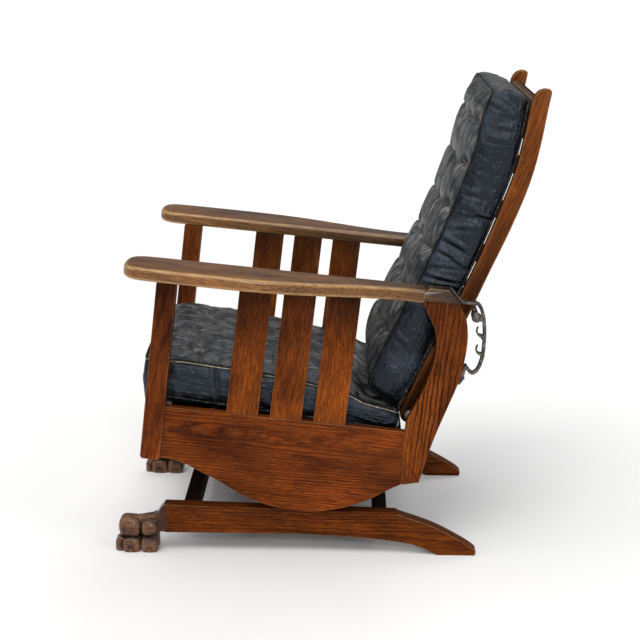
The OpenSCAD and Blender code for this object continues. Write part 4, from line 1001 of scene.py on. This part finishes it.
def nail_cuts(p):
    """How much of a nail's arch is cut at each point: exp(-(distance from the arch's line)**2), at each toe's end."""
    x, y, z = p[..., 0], np.abs(p[..., 1]), p[..., 2]
    cut = np.zeros_like(x)
    for toe in (38, 80):
        e = (np.abs((x - toe + 1) / 7.0) ** 3 + np.abs((z - 1) / 12.5) ** 3) ** (1 / 3)
        cut = np.maximum(cut, np.exp(-((e - 1) * 8 / 1.3) ** 2) * (y > 20))
    e = np.hypot((y - 10) / 5.5, (z - 2) / 12.5)
    return np.maximum(cut, np.exp(-((e - 1) * 7 / 1.3) ** 2) * (x < 7))


def carve_paw(side):
    """The paw as one grid of rays from a line inside it: half a ball of them in front, then rings along to the rail.

    Each point lies where its ray leaves the carved form, set back by the cut of the nails.
    """
    rows_front, rows_along, count = 54, 96, 132
    rows = rows_front + rows_along
    angle = np.linspace(0, 2 * np.pi, count, endpoint=False)
    tilt = np.concatenate([np.linspace(np.pi / 2, 0, rows_front, endpoint=False), np.zeros(rows_along)])[:, None]
    start_x = np.concatenate([np.full(rows_front, 30.0), np.linspace(30, 120, rows_along)])
    start_z = np.interp(start_x, [30, 62, 100, 124], [33, 42, 80, 82])
    direction = np.stack([np.repeat(-np.sin(tilt), count, 1), np.cos(tilt) * np.cos(angle),
                          np.cos(tilt) * np.sin(angle)], axis=-1)
    origin = np.stack([start_x, np.zeros_like(start_x), start_z], axis=-1)[:, None]
    reach = leaves_at(origin, direction)
    p = origin + direction * reach[..., None]
    cut = nail_cuts(p)
    reach = reach - 1.7 * cut * (p[..., 2] > 1)
    p = origin + direction * reach[..., None]
    # The sole is flat on the floor
    to_floor = origin[..., 2] / np.maximum(origin[..., 2] - p[..., 2], 1e-6)
    p = origin + (p - origin) * np.where(p[..., 2] < 0, to_floor, 1.0)[..., None]
    # Hollows get painted shade, ridges a pale rub that also paints their highlight: how far each point stands out
    # from those near it
    kernel = 9
    around = np.stack([np.roll(reach, k, 1) for k in range(-kernel, kernel + 1)]).mean(0)
    pad = np.pad(around, ((kernel, kernel), (0, 0)), mode="edge")
    relief = (reach - np.stack([pad[k:k + rows] for k in range(2 * kernel + 1)]).mean(0)) / 3.0
    groove = np.clip(-relief * 0.9, 0, 1) + 0.8 * cut
    ridge = np.clip(relief * 0.8 + 0.25, 0, 1) * (1 - np.clip(groove, 0, 1))
    # The toes start where the paw's CAD box does
    name = "paw_foot_" + ("left" if side < 0 else "right")
    points = (p + [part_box(name)[0][0] / MM, side * PAW_MID_Y, 0.0]).reshape(-1, 3) * MM
    points = np.vstack([points, points[:count].mean(0), points[-count:].mean(0)])
    n = rows * count
    faces = grid_faces(rows, count).tolist()
    faces += [(n, (k + 1) % count, k) for k in range(count)]
    faces += [(n + 1, n - count + k, n - count + (k + 1) % count) for k in range(count)]
    piece = new_piece("oak_" + name, (points, faces), "base", finish("oak_feet"), name)
    outward(piece, merge=False)
    local = np.stack([points[:, 0] + 1.3 * side, points[:, 2] + 0.03, points[:, 1] * 0.8], axis=1)
    write_attribute(piece.data, "grain", local)
    marks = np.zeros((n + 2, 3))
    fade = np.clip((112 - p[..., 0]) / 22, 0, 1)
    # Wear on the ridges, also a painted highlight; painted shade in the hollows and the nails' cuts, and a darker tone
    # where the paw runs into its rail
    marks[:n, 0] = (np.clip(ridge + 0.25, 0, 1) * fade).ravel()
    marks[:n, 2] = (np.clip(1.15 * groove, 0, 1) * fade + 0.5 * (1 - fade)).ravel()
    marks[:, 1] = 0.2
    write_attribute(piece.data, "finish", marks)


# The ratchet

# The bracket's strap from the arm's tongue down to the post, in seat millimetres, with half its thickness
STRAP = [(290, 563.7, 2.0), (304, 550, 3.0), (317, 537.4, 3.2), (323, 534.6, 3.6), (332, 534.6, 3.9),
         (342.4, 535.2, 4), (351, 535.4, 4), (358.4, 532, 4), (365, 523, 4), (371, 508.4, 4), (376, 488.9, 4),
         (379.2, 470, 4), (381.3, 450, 4), (382.3, 428, 4), (381.6, 410, 4), (379.2, 396.4, 3.9),
         (375.4, 385, 3.8), (370, 377.6, 3.7), (364, 375, 3.7), (358.6, 377.6, 3.7), (353.5, 382.6, 3.7),
         (348, 388.5, 3.6)]
# Its foot on the post
FOOT = [(349.4, 392, 2.6), (346.8, 388, 4.2), (345.2, 379, 4.5), (343.2, 366, 4.5), (341.2, 354, 4.2),
        (338.2, 344.6, 1.2)]
# A claw from its root at the strap, under the bar's seat, up to its tip: from the seat's centre, and half its thickness
CLAW = [(12.0, -15.5, 6.0), (6.5, -12.6, 5.0), (1.0, -10.4, 3.3), (-4.6, -8.2, 2.4), (-8.3, -3.4, 1.9),
        (-8.9, 2.0, 1.4), (-8.3, 6.0, 1.0), (-6.8, 9.6, 0.35)]
# The first claw hangs from the strap's top by another root
FIRST_ROOT = [(19.0, -9.0, 3.4), (8.5, -10.6, 3.6)]
# The bracket's middle and half width across, where the bar lies, and how far behind and below it each claw's seat is
BRACKET_Y, BRACKET_HALF, BAR_AT = 292.0, 9.0, (353.835, 509.0)
CLAW_STEPS = ((0, 0), (16.5, 36), (21, 78))


def flat_bar(line, y):
    """A cast bar with rounded edges along a line of (x, z, half its thickness) in the seat's plane.

    Point = line + y * across + n * normal, with y = half width * |cos a|**0.4 and n = half thickness * |sin a|**0.6.
    """
    line = curve(line, 6)
    d = np.gradient(line[:, :2], axis=0)
    d /= np.linalg.norm(d, axis=1)[:, None]
    a = np.linspace(0, 2 * np.pi, 36, endpoint=False)
    across = BRACKET_HALF * np.sign(np.cos(a)) * np.abs(np.cos(a)) ** 0.4
    depth = line[:, 2:] * (np.sign(np.sin(a)) * np.abs(np.sin(a)) ** 0.6)
    rings = from_seat(line[:, :1] - d[:, 1:] * depth, y + across[None] + 0 * depth, line[:, 1:2] + d[:, :1] * depth)
    n = len(line)
    return rings.reshape(-1, 3), grid_faces(n, 36).tolist() + [tuple(range(36))[::-1],
                                                               tuple(range(36 * n - 36, 36 * n))]


def ratchet_bracket(side, name):
    """The cast bracket: a strap that bends down behind the arm, three claws for the bar, and a foot on the post."""
    y = side * BRACKET_Y
    parts = [flat_bar(STRAP, y), flat_bar(FOOT, y)]
    for back, drop in CLAW_STEPS:
        claw = np.array(CLAW)
        if back:
            # The root reaches to the strap's falling run
            strap = np.array(STRAP)[9:20]
            claw[0, 0] = np.interp(drop - BAR_AT[1] - claw[0, 1], -strap[:, 1], strap[:, 0]) - BAR_AT[0] - back - 1.5
        else:
            claw[:2] = FIRST_ROOT
        claw[:, :2] += [BAR_AT[0] + back, BAR_AT[1] - drop]
        parts.append(flat_bar(claw, y))
    piece = new_piece("iron_" + name, join(*parts), "seat", finish("cast_iron"), name)
    outward(piece, merge=False)


def turned_finial(side, name):
    """A cast ball on a turned neck, screwed on the end of the bar."""
    low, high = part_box(name)
    centre = np.array([(low[0] + high[0]) / 2, low[1] if side > 0 else high[1], (low[2] + high[2]) / 2])
    ball = 0.0115
    middle = high[1] - low[1] - ball
    profile = [(0, 0.0), (0, 0.0070), (0.0008, 0.0080), (0.0030, 0.0082), (0.0038, 0.0070), (0.0046, 0.0064)]
    profile += [(middle + ball * math.cos(a), max(ball * math.sin(a), 1e-5))
                for a in np.linspace(math.radians(142), 0, 26)]
    outward(new_piece("iron_" + name, lathe(profile, centre, np.array([0.0, side, 0.0])), "bar",
                      finish("dark_steel"), name))


# Stage

FOCAL_PX, FRAME_PX = 1553.41, 640.0
CAMERA_AT = (0.04808, -3.66787, 1.39871)
CAMERA_YAW, CAMERA_PITCH, CAMERA_ROLL = math.radians(-1.065), math.radians(13.952), math.radians(0.359)
# Each lamp's name, direction, spread in degrees, strength and colour
LAMPS = [("key", (-0.7, -2.3, 3.6), 30.0, 1.10, (1.0, 0.99, 0.97)), ("front", (0.5, -3.3, 1.7), 14.0, 0.85, (1, 1, 1)),
         ("low", (0.3, -3.3, 0.7), 13.0, 0.36, (1, 1, 1)), ("top", (-0.3, 0.4, 4.0), 50.0, 0.85, (1, 1, 1)),
         ("left", (-3.2, -1.2, 1.6), 40.0, 0.55, (1, 1, 1)), ("side", (2.6, -1.6, 2.4), 20.0, 0.30, (1, 1, 1)),
         ("rear", (1.2, 3.0, 3.4), 24.0, 0.4, (1, 1, 1))]
WORLD_STRENGTH, FLOOR_HALF = 0.19, 60.0


def photo_camera():
    """The camera that saw the chair: place, yaw, pitch and roll fitted to the photo's edges."""
    y, p, r = CAMERA_YAW, CAMERA_PITCH, CAMERA_ROLL
    forward = Vector((math.sin(y) * math.cos(p), math.cos(y) * math.cos(p), -math.sin(p)))
    right = Vector((math.cos(y), -math.sin(y), 0.0))
    up = right.cross(forward)
    tilted_right = math.cos(r) * right + math.sin(r) * up
    tilted_up = -math.sin(r) * right + math.cos(r) * up
    data = bpy.data.cameras.new("photo_camera")
    data.sensor_fit = "HORIZONTAL"
    data.sensor_width = 36.0
    data.lens = FOCAL_PX / FRAME_PX * data.sensor_width
    data.clip_start, data.clip_end = 0.1, 100.0
    camera = bpy.data.objects.new("photo_camera", data)
    bpy.context.scene.collection.objects.link(camera)
    turn = Matrix((tilted_right, tilted_up, -forward)).transposed()
    camera.matrix_world = Matrix.Translation(CAMERA_AT) @ turn.to_4x4()
    bpy.context.scene.camera = camera
    return camera


def softbox(name, place, spread, strength, colour=(1, 1, 1)):
    """A large lamp far off: even over the whole floor, with shadows as soft as its spread in degrees."""
    data = bpy.data.lights.new(name, "SUN")
    data.angle = math.radians(spread)
    data.energy = strength
    data.color = colour
    light = bpy.data.objects.new(name, data)
    bpy.context.scene.collection.objects.link(light)
    light.location = place
    light.rotation_euler = (-Vector(place)).to_track_quat("-Z", "Y").to_euler()
    return light


def paper(add, colour):
    """Matt white paper: it only has to be pale and even."""
    tone = add("TexNoise", {"Vector": add("TexCoord").outputs["Object"], "Scale": 0.6, "Detail": 1.0})
    return {"Base Color": add("ValToRGB", [tone], ramp=[(0.3, colour), (0.7, "#fafafa")]), "Roughness": 0.9,
            "Specular IOR Level": 0.1}


def lay_floor(colour):
    """One wide flat sheet on the ground."""
    half = FLOOR_HALF
    mesh = bpy.data.meshes.new("floor")
    mesh.from_pydata([(-half, -half, 0), (half, -half, 0), (half, half, 0), (-half, half, 0)], [], [(0, 1, 2, 3)])
    mesh.materials.append(new_material("paper_floor", paper, colour))
    floor = bpy.data.objects.new("floor", mesh)
    bpy.context.scene.collection.objects.link(floor)


def hang_backdrop(strength):
    """The world: as white as the floor where it is seen above the floor's edge, and a weak even light otherwise."""
    world = bpy.data.worlds.new("studio")
    world.use_nodes = True
    tree = world.node_tree
    seen = put(tree, "LightPath").outputs["Is Camera Ray"]
    sky = tree.nodes["Background"]
    sky.inputs[0].default_value = (1, 1, 1, 1)
    tree.links.new(put(tree, "MapRange", {0: seen, 3: WORLD_STRENGTH * strength, 4: 1.0}).outputs[0], sky.inputs[1])
    bpy.context.scene.world = world


# Add-on

def colour_choice(name, description, code):
    """A colour that a user may change."""
    return bpy.props.FloatVectorProperty(name=name, description=description, subtype="COLOR", size=4, min=0.0, max=1.0,
                                         default=shade(code))


def length_choice(name, description, metres):
    """A length that a user may change."""
    return bpy.props.FloatProperty(name=name, description=description, default=metres, subtype="DISTANCE",
                                   unit="LENGTH")


class RockerWood(bpy.types.PropertyGroup):
    """Looks of the oak"""
    dark: colour_choice("Dark grain", "Colour of the growth rings' dark lines", "#52240a")
    middle: colour_choice("Board", "Main colour of the varnished boards", "#76380f")
    light: colour_choice("Light grain", "Colour of the pale fibres", "#96501a")
    ring_mm: bpy.props.FloatProperty(name="Ring spacing", description="Width of a growth ring as drawn, in mm",
                                     default=6.5, min=2.0, max=15.0)


class RockerIron(bpy.types.PropertyGroup):
    """Looks of the iron"""
    dark: colour_choice("Cast skin", "Colour of the iron in its hollows", "#2b2926")
    rubbed: colour_choice("Rubbed iron", "Colour of the iron where it is rubbed", "#8f897f")


class RockerLeather(bpy.types.PropertyGroup):
    """Shapes and looks of the cushions"""
    back_crown: length_choice("Back crown", "How far the back cushion's face swells", 0.027)
    seat_crown: length_choice("Seat crown", "How far the seat cushion's top swells", 0.031)
    tuft_depth: length_choice("Tuft depth", "How deep the tufts are sewn", 0.019)
    crease_depth: length_choice("Crease depth", "Depth of the sewn folds across the rows of tufts", 0.011)
    pucker: length_choice("Pucker", "Height of the pinched folds on the boxed sides", 0.009)
    # The folds' colour is also painted into their valleys as shade
    dark: colour_choice("Folds", "Colour of the hide in its folds", "#05070b")
    side: colour_choice("Sides", "Colour of the hide on the boxed sides", "#06090e")
    face: colour_choice("Face", "Colour of the hide on the face", "#121c28")
    bloom: colour_choice("Bloom", "Colour of the hide's blue bloom", "#1f2936")
    rubbed: colour_choice("Rubbed", "Colour of the hide where it is rubbed", "#2e3e50")
    crack: colour_choice("Cracks", "Colour of the cracked finish along creases", "#a6a195")


class RockerStage(bpy.types.PropertyGroup):
    """The floor and the light"""
    floor: colour_choice("Floor", "Colour of the floor", "#f8f8f8")
    strength: bpy.props.FloatProperty(name="Light", description="How strong the studio light is, against 1 as set",
                                      default=1.0, min=0.1, max=4.0)


class ROCKER_OT_stage(bpy.types.Operator):
    """Makes the pale floor, the soft studio light and the camera at the photo's place"""
    bl_idname = "rocker.stage"
    bl_label = "Stage"

    def execute(self, context):
        look = context.scene.rocker_stage
        photo_camera()
        lay_floor(look.floor)
        for name, place, spread, strength, colour in LAMPS:
            softbox(name, place, spread, strength * look.strength, colour)
        hang_backdrop(look.strength)
        context.scene.view_settings.view_transform = "Standard"
        return {"FINISHED"}


class ROCKER_OT_boards(bpy.types.Operator):
    """Dresses the base rails, side panels, posts, arm slats and rails as sawn oak boards with rounded edges"""
    bl_idname = "rocker.boards"
    bl_label = "Boards"

    def execute(self, context):
        for node in nodes_like("base_rail", "base_cross", "side_panel", "front_post", "rear_post", "arm_slats",
                               "seat_front", "seat_rear", "seat_cleat", "seat_slat"):
            dress_board(node)
        return {"FINISHED"}


class ROCKER_OT_arms(bpy.types.Operator):
    """Dresses the arms with their wide rounded edges, rubbed pale by hands"""
    bl_idname = "rocker.arms"
    bl_label = "Arms"

    def execute(self, context):
        for node in ("arm_left", "arm_right"):
            dress_board(node)
        return {"FINISHED"}


class ROCKER_OT_back_frame(bpy.types.Operator):
    """Dresses the reclining back's curved stiles, crest rail, bottom rail and slats"""
    bl_idname = "rocker.back_frame"
    bl_label = "Back frame"

    def execute(self, context):
        for node in nodes_like("back_stile", "back_crest", "back_bottom", "back_slat"):
            dress_board(node)
        return {"FINISHED"}


class ROCKER_OT_paws(bpy.types.Operator):
    """Carves the lion-paw feet"""
    bl_idname = "rocker.paws"
    bl_label = "Paw feet"

    def execute(self, context):
        for side in (-1, 1):
            carve_paw(side)
        return {"FINISHED"}


class ROCKER_OT_ironwork(bpy.types.Operator):
    """Dresses the ratchet brackets, support bar, finials, pins, spring brackets and screws"""
    bl_idname = "rocker.ironwork"
    bl_label = "Ironwork"

    def execute(self, context):
        for side, name in ((-1, "_left"), (1, "_right")):
            ratchet_bracket(side, "ratchet_bracket" + name)
            turned_finial(side, "bar_finial" + name)
            for node in ("spring_lower_bracket", "spring_upper_bracket"):
                dress_iron(node + name, "cast_iron", bevel=0.8)
            for node in ("pivot_pin", "pivot_spacer"):
                dress_iron(node + name, "cast_iron")
        for node in ("support_bar", "bracket_screws", "spring_lower_screws", "spring_upper_screws"):
            dress_iron(node, "dark_steel")
        return {"FINISHED"}


class ROCKER_OT_springs(bpy.types.Operator):
    """Gives the coil springs round wire and a steel finish"""
    bl_idname = "rocker.springs"
    bl_label = "Springs"

    def execute(self, context):
        for name in ("rocker_springs_left", "rocker_springs_right"):
            node = frame["nodes"][name]
            for slot in node.material_slots:
                slot.material = finish("dark_steel")
            node.modifiers.new("Weld", "WELD").merge_threshold = 2e-5
            wire = node.modifiers.new("Wire", "SUBSURF")
            wire.levels = wire.render_levels = 1
        return {"FINISHED"}


class ROCKER_OT_cushions(bpy.types.Operator):
    """Makes the tufted, boxed and welted leather cushions of the seat and the back"""
    bl_idname = "rocker.cushions"
    bl_label = "Cushions"

    def execute(self, context):
        # The seat's third cord, black and lifted beside the pale front welt, is a line of painted shade along that seam
        make_cushion("seat", 0.268, [("front", 0.0019, "rubbed_welt", 0.0), ("rear", 0.0028, "cord_welt", 0.0),
                                     ("front", 0.0022, "black_welt", 0.0036)])
        make_cushion("back", 0.250, [("front", 0.0017, "black_welt", 0.0), ("rear", 0.0028, "cord_welt", 0.0)])
        return {"FINISHED"}


class ROCKER_PT_panel(bpy.types.Panel):
    """The rocker's pieces and finishes"""
    bl_label = "Oak Platform Rocker"
    bl_idname = "ROCKER_PT_panel"
    bl_space_type = "VIEW_3D"
    bl_region_type = "UI"
    bl_category = "Rocker"

    def draw(self, context):
        for operator in OPERATORS:
            self.layout.operator(operator.bl_idname)
        for name in GROUPS:
            box, group = self.layout.box(), getattr(context.scene, name)
            for choice in group.__annotations__:
                box.prop(group, choice)


GROUPS = {"rocker_wood": RockerWood, "rocker_iron": RockerIron, "rocker_leather": RockerLeather,
          "rocker_stage": RockerStage}
OPERATORS = (ROCKER_OT_stage, ROCKER_OT_boards, ROCKER_OT_arms, ROCKER_OT_back_frame, ROCKER_OT_paws,
             ROCKER_OT_ironwork, ROCKER_OT_springs, ROCKER_OT_cushions)


def register():
    for name, group in GROUPS.items():
        bpy.utils.register_class(group)
        setattr(bpy.types.Scene, name, bpy.props.PointerProperty(type=group))
    for part in (*OPERATORS, ROCKER_PT_panel):
        bpy.utils.register_class(part)


def unregister():
    for part in reversed((*OPERATORS, ROCKER_PT_panel)):
        bpy.utils.unregister_class(part)
    for name, group in GROUPS.items():
        delattr(bpy.types.Scene, name)
        bpy.utils.unregister_class(group)


def main():
    """Makes the whole chair."""
    register()
    bpy.ops.rocker.stage()
    bpy.ops.rocker.boards()
    bpy.ops.rocker.arms()
    bpy.ops.rocker.back_frame()
    bpy.ops.rocker.paws()
    bpy.ops.rocker.ironwork()
    bpy.ops.rocker.springs()
    bpy.ops.rocker.cushions()


if __name__ == "__main__":
    main()
